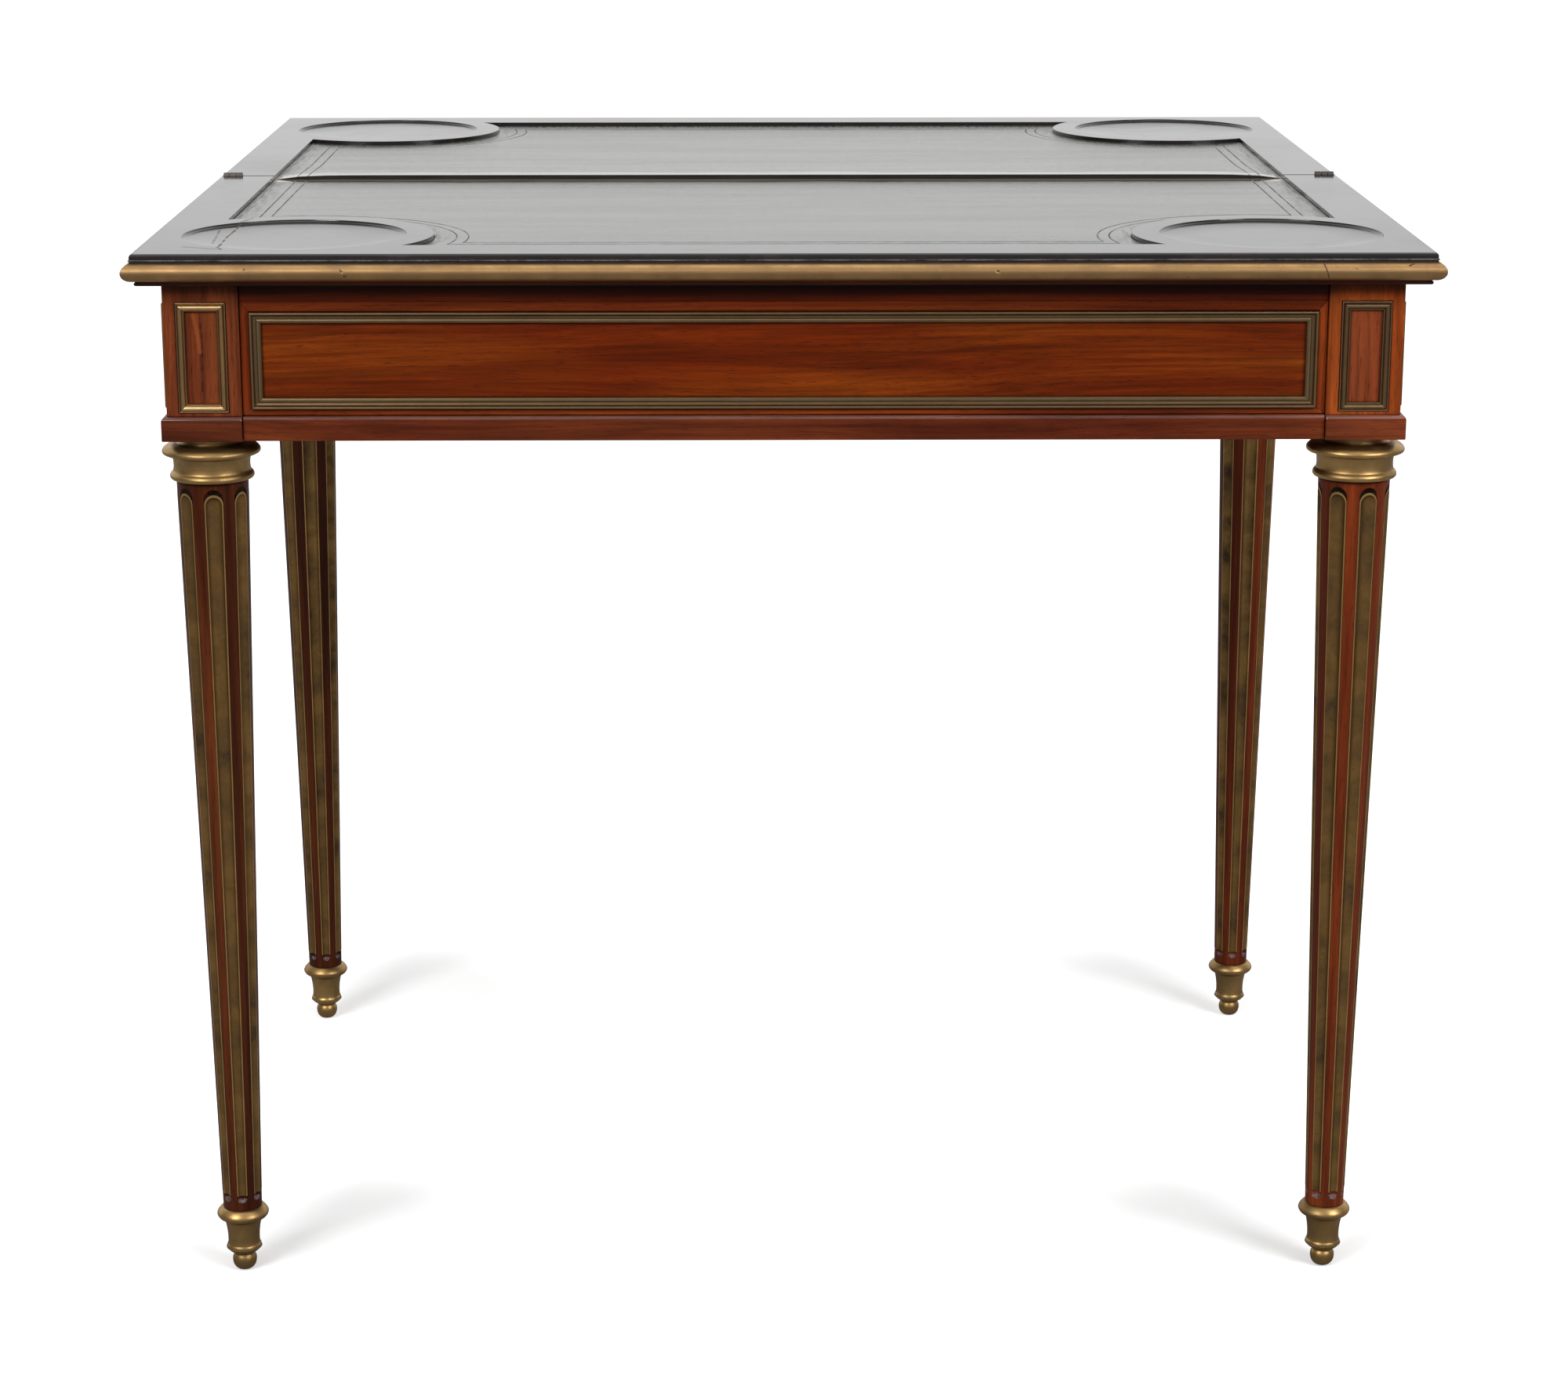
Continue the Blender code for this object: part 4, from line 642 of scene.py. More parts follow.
crosswise = mathed(tree, "MAXIMUM", on_end, mathed(tree, "MULTIPLY", on_arc, steep))
# lines that run along X, across the front, are drawn up to twice as wide: painted shade of their groove
groove_shade_widening = mathed(tree, "SUBTRACT", 1.0, mathed(tree, "MULTIPLY", crosswise, 0.5))
line = None
for inset in TOOLED_LINES:
    off = mathed(tree, "ABSOLUTE", mathed(tree, "SUBTRACT", edge, inset))
    one = mapped(tree, mathed(tree, "MULTIPLY", off, groove_shade_widening), LINE_HALF, LINE_FADES, 1.0, 0.0)
    line = one if line is None else mathed(tree, "MAXIMUM", line, one)
unworn = mapped(tree, noise(tree, given["Place"], 60.0, 3.0, 0.6), 0.36, 0.56, 0.35, 1.0)
tree.links.new(mathed(tree, "MULTIPLY", line, unworn), put["Line"])
tree.links.new(edge, put["Edge"])
print("tooled lines at", TOOLED_LINES)

# %% Leather
LEATHER_DEEP, LEATHER_BODY = (0.040, 0.047, 0.034, 1), (0.068, 0.078, 0.058, 1)
LEATHER_WORN, LEATHER_PALE = (0.014, 0.017, 0.011, 1), (0.300, 0.235, 0.175, 1)
LEATHER_LINE = (0.008, 0.009, 0.006, 1)
EDGE_DEEP, EDGE_PALE = (0.006, 0.006, 0.007, 1), (0.022, 0.020, 0.016, 1)
LEATHER_IOR = 1.60


def leather_finish():
    """Waxed grey-green leather, worn darker along its sides and rubbed pale at the joint."""
    material, tree, shader, place = new_material("leather")
    tooled = grouped(tree, tooled_edge, Place=place)
    clouds = mapped(tree, noise(tree, stretched(tree, place, 3.0, 22.0), 1.0, 4.0, 0.6), 0.35, 0.7)
    colour = mixed(tree, clouds, LEATHER_DEEP, LEATHER_BODY)
    at_sides = mathed(tree, "POWER", mapped(tree, tooled["Edge"], 0.001, 0.020, 1.0, 0.0), 1.6)
    streaky = noise(tree, vectored(tree, "MULTIPLY", place, (260.0, 26.0, 60.0)), 1.0, 5.0, 0.7, 0.3)
    worn = mathed(tree, "MULTIPLY", at_sides, mapped(tree, streaky, 0.42, 0.64), clamp=True)
    colour = mixed(tree, mathed(tree, "MULTIPLY", worn, 0.7), colour, LEATHER_WORN)
    from_joint = mathed(tree, "ABSOLUTE", split_up(tree, place)["Y"])
    ragged = noise(tree, stretched(tree, place, 14.0, 60.0), 1.0, 4.0, 0.65)
    from_joint = mathed(tree, "ADD", from_joint, mapped(tree, ragged, 0.35, 0.65, -0.005, 0.005))
    at_joint = mapped(tree, from_joint, 0.008, 0.020, 1.0, 0.0)
    colour = mixed(tree, mathed(tree, "MULTIPLY", at_joint, 0.8), colour, LEATHER_PALE)
    colour = mixed(tree, tooled["Line"], colour, LEATHER_LINE)
    tree.links.new(colour, shader.inputs["Base Color"])
    rough = mapped(tree, clouds, 0.0, 1.0, 0.16, 0.22)
    polished = mathed(tree, "MULTIPLY", mapped(tree, at_joint, 0.0, 0.5), 0.85)
    rough = mathed(tree, "MULTIPLY", rough, mathed(tree, "SUBTRACT", 1.0, polished))
    rough = mathed(tree, "ADD", rough, mathed(tree, "MULTIPLY", worn, 0.30))
    rough = mathed(tree, "ADD", rough, mathed(tree, "MULTIPLY", tooled["Line"], 0.45), clamp=True)
    tree.links.new(rough, shader.inputs["Roughness"])
    shader.inputs["IOR"].default_value = LEATHER_IOR
    cells = {"Vector": place, "Scale": 720.0}
    creases = add_node(tree, "ShaderNodeTexVoronoi", feature="DISTANCE_TO_EDGE", inputs=cells)
    creases = mapped(tree, creases.outputs["Distance"], 0.0, 0.25)
    depth = mathed(tree, "SUBTRACT", 0.10, mathed(tree, "MULTIPLY", polished, 0.11))
    creases = mathed(tree, "MULTIPLY", creases, depth)
    bumped(tree, shader, mathed(tree, "SUBTRACT", creases, tooled["Line"]), 0.00020)
    return material


def leather_edge_finish():
    """The raw edge of the rear sheet at the joint, nearly black: its own dark colour with painted shade
    of the gap.
    """
    material, tree, shader, place = new_material("leather_edge")
    layers = noise(tree, vectored(tree, "MULTIPLY", place, (22.0, 1.0, 900.0)), 1.0, 4.0)
    colour = mixed(tree, mapped(tree, layers, 0.35, 0.7), EDGE_DEEP, EDGE_PALE)
    tree.links.new(colour, shader.inputs["Base Color"])
    tree.links.new(mapped(tree, layers, 0.3, 0.7, 0.45, 0.65), shader.inputs["Roughness"])
    shader.inputs["Specular IOR Level"].default_value = 0.2
    bumped(tree, shader, layers, 0.0002)
    return material


leather = leather_finish()
leather_edge = leather_edge_finish()
print("leather nodes:", len(leather.node_tree.nodes))

# %% [markdown]
# ## Brass
#
# The mounts were once gilded or lacquered and have aged: bright where hands and cloths rub them,
# brown in the hollows. The mouldings on the frieze are duller, and the linings of the flutes are
# the darkest. One function makes them all, with a clean colour, a tarnished colour and a level of
# gloss for each.

# %% Brass and steel
NOSING_MARKS = [
    # (points as x and z, half width): two dents, a joint of two lengths and small nicks
    ([(-0.2976, 0.7416), (-0.2968, 0.7408)], 0.0012),
    ([(-0.2952, 0.7372), (-0.2942, 0.7376)], 0.0011),
    ([(0.3612, 0.7480), (0.3634, 0.7415), (0.3652, 0.7360)], 0.0006),
    ([(-0.3622, 0.7422), (-0.3617, 0.7424)], 0.0007),
    ([(0.1425, 0.7408), (0.1432, 0.7404)], 0.0012),
    ([(0.4195, 0.7440), (0.4225, 0.7452)], 0.0007),
]
MARKED_BEFORE = -0.3


def metal_finish(name, clean, tarnished, tarnish, gloss, dirt_reach, marks=()):
    """Aged metal between a clean and a tarnished colour."""
    material, tree, shader, place = new_material(name)
    wear = grouped(tree, metal_wear, Place=place)
    shade_and_dirt = grouped(tree, hollow_shade_and_dirt, Place=place, Reach=dirt_reach)["Shade and dirt"]
    dulled = mathed(tree, "MULTIPLY", wear["Tarnish"], tarnish)
    dulled = mathed(tree, "MAXIMUM", dulled, mathed(tree, "MULTIPLY", wear["Spots"], 0.6))
    dulled = mathed(tree, "MAXIMUM", dulled, mathed(tree, "MULTIPLY", shade_and_dirt, 0.9))
    hit = None
    for points, half_width in marks:
        one = marked(tree, seen_from_front(tree, place), points, half_width, 0.001)
        in_front = mathed(tree, "LESS_THAN", split_up(tree, place)["Y"], MARKED_BEFORE)
        one = mathed(tree, "MULTIPLY", one, in_front)
        hit = one if hit is None else mathed(tree, "MAXIMUM", hit, one)
    if hit:
        dulled = mathed(tree, "MAXIMUM", dulled, hit)
    tree.links.new(mixed(tree, dulled, (*clean, 1), (*tarnished, 1)), shader.inputs["Base Color"])
    rough = mathed(tree, "ADD", gloss, mathed(tree, "MULTIPLY", dulled, 0.22))
    rough = mathed(tree, "ADD", rough, mathed(tree, "MULTIPLY", wear["Scratches"], 0.05), clamp=True)
    tree.links.new(rough, shader.inputs["Roughness"])
    tree.links.new(mapped(tree, dulled, 0.3, 1.0, 1.0, 0.65), shader.inputs["Metallic"])
    pitted = mathed(tree, "MULTIPLY", wear["Spots"], -1.0)
    height = mathed(tree, "ADD", mathed(tree, "MULTIPLY", wear["Scratches"], 0.4), pitted)
    if hit:
        height = mathed(tree, "SUBTRACT", height, mathed(tree, "MULTIPLY", hit, 9.0))
    bumped(tree, shader, height, 0.00003)
    return material


print("a maker of metal finishes is ready")

# %% The metal of each kind of piece
METALS = {
    # name: (clean, tarnished, how tarnished, roughness, reach of dirt)
    "brass_nosing": ((0.40, 0.240, 0.105), (0.12, 0.070, 0.036), 0.45, 0.38, 0.003),
    "brass_mount": ((0.47, 0.292, 0.112), (0.075, 0.047, 0.022), 0.50, 0.34, 0.004),
    "brass_frame": ((0.235, 0.150, 0.074), (0.055, 0.035, 0.022), 0.40, 0.27, 0.003),
    "brass_rubbed": ((0.31, 0.207, 0.105), (0.085, 0.056, 0.032), 0.45, 0.30, 0.001),
    # painted light: a lighter copy of the frame brass for the left small frames
    "brass_small_lit": ((0.50, 0.300, 0.125), (0.075, 0.046, 0.032), 0.45, 0.24, 0.002),
    # painted highlight for the level bars of the left small frames
    "brass_bright": ((1.0, 0.680, 0.320), (0.160, 0.100, 0.060), 0.25, 0.26, 0.001),
    "brass_lining": ((0.32, 0.180, 0.060), (0.040, 0.024, 0.014), 0.85, 0.34, 0.005),
    "brass_rim": ((0.58, 0.350, 0.130), (0.15, 0.088, 0.036), 0.5, 0.30, 0.001),
    "brass_hinge": ((0.130, 0.110, 0.100), (0.025, 0.021, 0.020), 0.6, 0.36, 0.004),
    "steel": ((0.42, 0.40, 0.38), (0.12, 0.095, 0.075), 0.5, 0.34, 0.004),
}
metal = {}
for name, values in METALS.items():
    metal[name] = metal_finish(name, *values, NOSING_MARKS if name == "brass_nosing" else ())
print("metal finishes:", len(metal), "all materials:", len(bpy.data.materials))

# %% [markdown]
# ## Tools for making a piece
#
# Each piece starts as one vertex, a plane, a block or a rod, and is shaped by extruding, spinning,
# cutting and bevelling it, as by hand. The place of every piece comes from the box of the solid
# that it stands for, so that nothing drifts away from the model. The helpers below hold the steps
# that come back on most pieces: start with nothing selected, draw a line, cut one body with
# another, round the edges, and hand the piece over to the solid's body.

# %% Start, draw and finish a mesh
BODY_OF = {}
for body, group in frame["record"]["behaviour"]["bodies"].items():
    BODY_OF.update({node: body for node in group})
SELECT_ALL = {"action": "SELECT"}


def start_fresh():
    """Leaves edit mode and deselects all, because an operator acts on all that is selected."""
    if bpy.context.mode != "OBJECT":
        bpy.ops.object.mode_set(mode="OBJECT")
    bpy.ops.object.select_all(action="DESELECT")


def pick(piece):
    """Makes one piece the only selected and the active one."""
    start_fresh()
    piece.select_set(True)
    bpy.context.view_layer.objects.active = piece


def drawn_line(name, points):
    """A line of edges through the points, extruded on from one vertex; it stays in edit mode."""
    start_fresh()
    bpy.ops.mesh.primitive_plane_add(size=0.01)
    piece = bpy.context.object
    piece.name = name
    bpy.ops.object.mode_set(mode="EDIT")
    bpy.ops.mesh.merge(type="CENTER")
    bpy.ops.transform.translate(value=Vector(points[0]))
    for before, after in zip(points, points[1:]):
        step = Vector(after) - Vector(before)
        bpy.ops.mesh.extrude_vertices_move(TRANSFORM_OT_translate={"value": step})
    return piece


def closed_up():
    """In edit mode: merges doubles and turns all faces outwards, then leaves edit mode."""
    bpy.ops.mesh.select_all(**SELECT_ALL)
    bpy.ops.mesh.remove_doubles(threshold=0.000002)
    bpy.ops.mesh.select_all(**SELECT_ALL)
    bpy.ops.mesh.normals_make_consistent(inside=False)
    bpy.ops.object.mode_set(mode="OBJECT")


def turned(name, outline, steps=96):
    """A body turned round the Z axis from (radius, height) points."""
    piece = drawn_line(name, [(radius, 0, height) for radius, height in outline])
    bpy.ops.mesh.select_all(**SELECT_ALL)
    bpy.ops.mesh.spin(steps=steps, angle=2 * math.pi, center=(0, 0, 0), axis=(0, 0, 1))
    closed_up()
    return piece


def extruded(name, corners, run):
    """A flat outline extruded by a run, as a closed body."""
    piece = drawn_line(name, corners)
    bpy.ops.mesh.select_all(**SELECT_ALL)
    bpy.ops.mesh.edge_face_add()
    bpy.ops.mesh.extrude_region_move(TRANSFORM_OT_translate={"value": Vector(run)})
    closed_up()
    return piece


def block(name, low, high):
    """A block between two corners."""
    start_fresh()
    low, high = Vector(low), Vector(high)
    bpy.ops.mesh.primitive_cube_add(size=1, location=(low + high) / 2, scale=high - low)
    bpy.context.object.name = name
    bpy.ops.object.transform_apply(location=True, rotation=True, scale=True)
    return bpy.context.object


def rod(name, radius, start, end, segments=64):
    """A rod between two points."""
    start_fresh()
    start, end = Vector(start), Vector(end)
    middle, run = (start + end) / 2, end - start
    turn = run.to_track_quat("Z", "Y").to_euler()
    bpy.ops.mesh.primitive_cylinder_add(
        vertices=segments, radius=radius, depth=run.length, location=middle, rotation=turn
    )
    bpy.context.object.name = name
    bpy.ops.object.transform_apply(location=True, rotation=True, scale=True)
    return bpy.context.object


print("bodies:", {body: list(BODY_OF.values()).count(body) for body in set(BODY_OF.values())})

# %% Cut, round, copy and join
def combined(piece, other, operation="DIFFERENCE"):
    """Cuts, joins or meets a piece with another body, which is used up."""
    pick(piece)
    modifier = piece.modifiers.new("with_" + other.name, "BOOLEAN")
    modifier.operation = operation
    modifier.solver = "EXACT"
    modifier.object = other
    bpy.ops.object.modifier_apply(modifier=modifier.name)
    bpy.data.objects.remove(other)
    return piece


def rounded(piece, width, segments=2, angle=40):
    """Rounds the edges that are sharper than an angle."""
    pick(piece)
    modifier = piece.modifiers.new("rounded", "BEVEL")
    modifier.width = width
    modifier.segments = segments
    modifier.limit_method = "ANGLE"
    modifier.angle_limit = math.radians(angle)
    modifier.use_clamp_overlap = True
    bpy.ops.object.modifier_apply(modifier=modifier.name)
    return piece


def smoothed(piece, angle=30):
    """Shades the faces smooth where they meet at less than an angle."""
    pick(piece)
    bpy.ops.object.shade_smooth_by_angle(angle=math.radians(angle))
    return piece


def copied(piece, name, matrix):
    """A copy with its own mesh, moved in its mesh."""
    twin = piece.copy()
    twin.data = piece.data.copy()
    twin.name = name
    twin.data.transform(matrix)
    bpy.context.scene.collection.objects.link(twin)
    return twin


def joined(name, pieces):
    """Several pieces joined to one object; their finishes are kept as slots."""
    start_fresh()
    for piece in pieces:
        piece.select_set(True)
    bpy.context.view_layer.objects.active = pieces[0]
    bpy.ops.object.join()
    pieces[0].name = name
    return pieces[0]


def painted(piece, *finishes):
    """Gives a piece its finishes; the first one covers it all."""
    piece.data.materials.clear()
    for finish in finishes:
        piece.data.materials.append(finish)
    return piece


def stands_for(piece, node):
    """The piece rides on the node's body and is shown instead of the node."""
    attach(piece, BODY_OF[node])
    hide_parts(node)
    return piece


def removed(*patterns):
    """Deletes patterns whose copies are done."""
    for pattern in patterns:
        bpy.data.objects.remove(pattern)


def about(node):
    """The middle of a node's box."""
    low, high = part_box(node)
    return (low + high) / 2


LEG_PLACES = {corner: about("sabot_" + corner).xy.to_tuple() for corner in CORNERS}
print("legs stand at:", {corner: [round(v, 4) for v in place] for corner, place in LEG_PLACES.items()})

# %% [markdown]
# ## Brass capitals and feet
#
# The collar at the top of each leg and the foot below it are turned on a lathe. A lathe piece is
# its outline spun round an axis, so the outline is all that has to be right. It is given here in
# shares of the piece's radius and height, first as the few points where the form changes, and is
# then rounded by a curve through them, so that the torus and the cove catch soft highlights.

# %% A smooth outline through a few points
SAME = 1e-9


def eased(points, steps=4):
    """A smooth curve through the points, which stays a corner where a point is given twice."""
    run = [Vector(p) for p in points]
    found = []
    for i in range(len(run) - 1):
        here, there = run[i], run[i + 1]
        step_on = there - here
        if step_on.length < SAME:
            continue
        before, after = here - step_on, there + step_on
        if i and (run[i - 1] - here).length > SAME:
            before = run[i - 1]
        if i + 2 < len(run) and (run[i + 2] - there).length > SAME:
            after = run[i + 2]
        for step in range(steps):
            t = step / steps
            one = 2 * here + (there - before) * t
            two = (2 * before - 5 * here + 4 * there - after) * t**2
            three = (3 * here - before - 3 * there + after) * t**3
            found.append((one + two + three) / 2)
    found.append(run[-1])
    return [tuple(p) for p in found]


CAPITAL_LOW, CAPITAL_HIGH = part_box("capital_front_left")
CAPITAL_RADIUS = (CAPITAL_HIGH.x - CAPITAL_LOW.x) / 2
CAPITAL_HEIGHT = CAPITAL_HIGH.z - CAPITAL_LOW.z
CAPITAL_SHARES = [
    (0.634, 1.000), (0.640, 0.930), (0.660, 0.865), (0.693, 0.832), (0.693, 0.832), (0.800, 0.822),
    (0.870, 0.802), (0.935, 0.768), (0.985, 0.715), (1.000, 0.663), (0.985, 0.614), (0.935, 0.590),
    (0.880, 0.580), (0.880, 0.580), (0.842, 0.566), (0.842, 0.566), (0.806, 0.545), (0.786, 0.470),
    (0.778, 0.380), (0.778, 0.300), (0.788, 0.225), (0.806, 0.190), (0.806, 0.190), (0.828, 0.168),
    (0.850, 0.130), (0.856, 0.092), (0.848, 0.055), (0.825, 0.028), (0.825, 0.028), (0.743, 0.000),
]
outline = [(0.0, CAPITAL_HIGH.z)]
for across, up in eased(CAPITAL_SHARES):
    outline.append((CAPITAL_RADIUS * across, CAPITAL_LOW.z + CAPITAL_HEIGHT * up))
outline.append((0.0, CAPITAL_LOW.z))
capital = painted(smoothed(turned("capital", outline, 128), 35), metal["brass_mount"])
for corner, (x, y) in LEG_PLACES.items():
    twin = copied(capital, "brass_capital_" + corner, Matrix.Translation((x, y, 0)))
    stands_for(twin, "capital_" + corner)
removed(capital)
print("capital radius:", round(CAPITAL_RADIUS, 4), "height:", round(CAPITAL_HEIGHT, 4))

# %% Brass feet
SABOT_LOW, SABOT_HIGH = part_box("sabot_front_left")
SABOT_RADIUS = (SABOT_HIGH.x - SABOT_LOW.x) / 2
SABOT_HEIGHT = SABOT_HIGH.z
SABOT_SHARES = [
    (0.760, 1.000), (0.830, 0.988), (0.900, 0.962), (0.965, 0.930), (1.000, 0.897), (0.985, 0.868),
    (0.930, 0.838), (0.860, 0.818), (0.860, 0.818), (0.775, 0.800), (0.720, 0.776), (0.690, 0.745),
    (0.660, 0.690), (0.632, 0.620), (0.616, 0.545), (0.612, 0.470), (0.626, 0.418), (0.650, 0.400),
    (0.672, 0.378), (0.668, 0.350), (0.630, 0.325), (0.560, 0.298), (0.480, 0.280), (0.430, 0.270),
    (0.398, 0.258), (0.392, 0.246), (0.410, 0.232), (0.445, 0.205), (0.466, 0.170), (0.462, 0.125),
    (0.435, 0.080), (0.380, 0.042), (0.300, 0.014), (0.200, 0.000),
]
outline = [(0.0, SABOT_HEIGHT)]
outline += [(SABOT_RADIUS * across, SABOT_HEIGHT * up) for across, up in eased(SABOT_SHARES)]
outline += [(0.0, 0.0)]
sabot = painted(smoothed(turned("sabot", outline, 112), 35), metal["brass_mount"])
PEARLS, PEARL_RADIUS = 44, 0.00062
PEARL_PLACE = (0.664 * SABOT_RADIUS, 0, 0.352 * SABOT_HEIGHT)
start_fresh()
bpy.ops.mesh.primitive_ico_sphere_add(subdivisions=2, radius=PEARL_RADIUS, location=PEARL_PLACE)
bpy.ops.object.transform_apply(location=True, rotation=True, scale=True)
pearl = painted(smoothed(bpy.context.object, 80), metal["brass_rubbed"])
turns = [Matrix.Rotation(2 * math.pi * number / PEARLS, 4, "Z") for number in range(PEARLS)]
sabot = joined("sabot", [sabot] + [copied(pearl, "pearl_copy", turn) for turn in turns])
for corner, (x, y) in LEG_PLACES.items():
    twin = copied(sabot, "brass_foot_" + corner, Matrix.Translation((x, y, 0)))
    stands_for(twin, "sabot_" + corner)
removed(sabot, pearl)
print("foot radius:", round(SABOT_RADIUS, 4), "height:", round(SABOT_HEIGHT, 4))

# %% [markdown]
# ## Fluted legs with brass linings
#
# Each leg is turned to a straight taper and then gets seven flutes, long hollows with round ends.
# A flute is cut with a body of its own shape: a tapering rod with half spheres at both ends,
# which follows the shaft's slope. Each flute is lined with a thin brass gutter. The gutter is made
# from the same body, a little smaller, kept only inside the shaft and hollowed by a smaller one
# still. It stops short of both ends, where the hollow shows wood, with a painted highlight in its
# foot and painted shade in its arch. Its rims are rubbed bright, so they get a finish of their own.

# %% The shaft
SHAFT_GAP, SHAFT_BREAK = 0.0003, 0.0004
SHAFT_TOP, SHAFT_FOOT = CAPITAL_LOW.z - SHAFT_GAP, SABOT_HIGH.z + SHAFT_GAP
SHAFT_TOP_RADIUS, SHAFT_FOOT_RADIUS = 0.02475, 0.0139
TENON_RADIUS, FOOT_TENON_RADIUS = 0.0109, 0.0069
LEG_LOW, LEG_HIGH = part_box("leg_front_left")
FLUTES = 7
FLUTE_TURNS = {"front_left": -81.5, "front_right": -73.7, "rear_left": -79.5, "rear_right": -91.0}


def shaft_radius(height):
    """The shaft's radius at a height."""
    share = (height - SHAFT_FOOT) / (SHAFT_TOP - SHAFT_FOOT)
    return SHAFT_FOOT_RADIUS + (SHAFT_TOP_RADIUS - SHAFT_FOOT_RADIUS) * share


leg = turned("leg", [
    (0, LEG_HIGH.z), (TENON_RADIUS, LEG_HIGH.z), (TENON_RADIUS, SHAFT_TOP),
    (SHAFT_TOP_RADIUS - SHAFT_BREAK, SHAFT_TOP), (SHAFT_TOP_RADIUS, SHAFT_TOP - SHAFT_BREAK),
    (SHAFT_FOOT_RADIUS, SHAFT_FOOT), (FOOT_TENON_RADIUS, SHAFT_FOOT),
    (FOOT_TENON_RADIUS, LEG_LOW.z), (0, LEG_LOW.z),
], 112)
print("shaft from", round(SHAFT_FOOT, 4), "to", round(SHAFT_TOP, 4))

# %% Cut the flutes
FLUTE_RADIUS_SHARE, FLUTE_CENTRE_SHARE = 0.3223, 1.136
FLUTE_END_SHARE = math.sqrt(FLUTE_RADIUS_SHARE**2 - (FLUTE_CENTRE_SHARE - 1) ** 2)
FLUTE_ARCH, FLUTE_STOP = SHAFT_TOP - 0.0033, SHAFT_FOOT + 0.0057
PAINTED_HIGHLIGHT_FROM, PAINTED_HIGHLIGHT_TO, PAINTED_SHADE_REACH = 0.0002, 0.0034, 0.0120


def flute_body(name, thinner=0.0, arch=FLUTE_ARCH, stop=FLUTE_STOP, steps=48):
    """A tapering rod with round ends along the shaft's side at +X."""
    top = arch - FLUTE_END_SHARE * shaft_radius(arch)
    foot = stop + FLUTE_END_SHARE * shaft_radius(stop)
    top_centre = Vector((FLUTE_CENTRE_SHARE * shaft_radius(top), 0, top))
    foot_centre = Vector((FLUTE_CENTRE_SHARE * shaft_radius(foot), 0, foot))
    top_radius = FLUTE_RADIUS_SHARE * shaft_radius(top) - thinner
    foot_radius = FLUTE_RADIUS_SHARE * shaft_radius(foot) - thinner
    along = top_centre - foot_centre
    angles = [math.pi / 2 * step / 8 for step in range(9)]
    outline = [(top_radius * math.sin(a), along.length + top_radius * math.cos(a)) for a in angles]
    outline += [(foot_radius * math.cos(a), -foot_radius * math.sin(a)) for a in angles]
    outline[0], outline[-1] = (0, outline[0][1]), (0, outline[-1][1])
    body = turned(name, outline, steps)
    lean = Vector((0, 0, 1)).rotation_difference(along).to_matrix().to_4x4()
    body.data.transform(Matrix.Translation(foot_centre) @ lean)
    return body


def repainted(piece, slot, wanted):
    """Gives the faces that pass a test the finish in another of the piece's slots."""
    for face in piece.data.polygons:
        if wanted(face):
            face.material_index = slot


def in_flute(face, lowest, highest):
    """Tells whether a face of the leg lies inside a flute, between two heights."""
    place = face.center
    radius = math.hypot(place.x, place.y)
    inside = FOOT_TENON_RADIUS < radius < shaft_radius(place.z) - SHAFT_BREAK
    return inside and lowest < place.z < highest


FLUTE_ANGLES = [Matrix.Rotation(2 * math.pi * number / FLUTES, 4, "Z") for number in range(FLUTES)]
for turn in FLUTE_ANGLES:
    flute = flute_body("flute")
    flute.data.transform(turn)
    combined(leg, flute)
painted(smoothed(leg, 28), wood["leg"], painted_highlight_wood, painted_shade_wood)
# painted highlight in the foot of each flute, painted shade under its arch
repainted(leg, 1, lambda face: in_flute(face, FLUTE_STOP + PAINTED_HIGHLIGHT_FROM, FLUTE_STOP + PAINTED_HIGHLIGHT_TO))
repainted(leg, 2, lambda face: in_flute(face, FLUTE_ARCH - PAINTED_SHADE_REACH, FLUTE_ARCH))
print("leg faces:", len(leg.data.polygons))

# %% The linings
LINING_GAP, LINING_THICKNESS, LINING_PROUD = 0.00025, 0.0008, 0.00012
LINING_ARCH, LINING_STOP = FLUTE_ARCH - 0.0034, FLUTE_STOP + 0.0060
RIM_DEPTH = 0.00006

gutter = flute_body("gutter", LINING_GAP, LINING_ARCH, LINING_STOP - 0.004)
around = turned("around", [
    (0, SHAFT_TOP), (SHAFT_TOP_RADIUS + LINING_PROUD, SHAFT_TOP),
    (shaft_radius(LINING_STOP) + LINING_PROUD, LINING_STOP), (0, LINING_STOP),
], 112)
combined(gutter, around, "INTERSECT")
thinner, arch = LINING_GAP + LINING_THICKNESS, LINING_ARCH - LINING_THICKNESS
combined(gutter, flute_body("hollow", thinner, arch, LINING_STOP - 0.012))
painted(smoothed(gutter, 35), metal["brass_lining"], metal["brass_rim"])
proud = LINING_PROUD - RIM_DEPTH
repainted(gutter, 1, lambda face: math.hypot(*face.center.xy) > shaft_radius(face.center.z) + proud)
linings = joined("linings", [copied(gutter, "gutter_copy", turn) for turn in FLUTE_ANGLES])
for corner, (x, y) in LEG_PLACES.items():
    place = Matrix.Translation((x, y, 0)) @ Matrix.Rotation(math.radians(FLUTE_TURNS[corner]), 4, "Z")
    twin = copied(leg, "turned_leg_" + corner, place)
    # the left-hand legs get the darker copy of the leg wood: painted shade
    if corner.endswith("left"):
        twin.data.materials[0] = wood["shaded_leg"]
    stands_for(twin, "leg_" + corner)
    twin = copied(linings, "flute_linings_" + corner, place)
    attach(twin, BODY_OF["leg_" + corner])
print("lining faces on each leg:", len(linings.data.polygons))
removed(leg, gutter, linings)

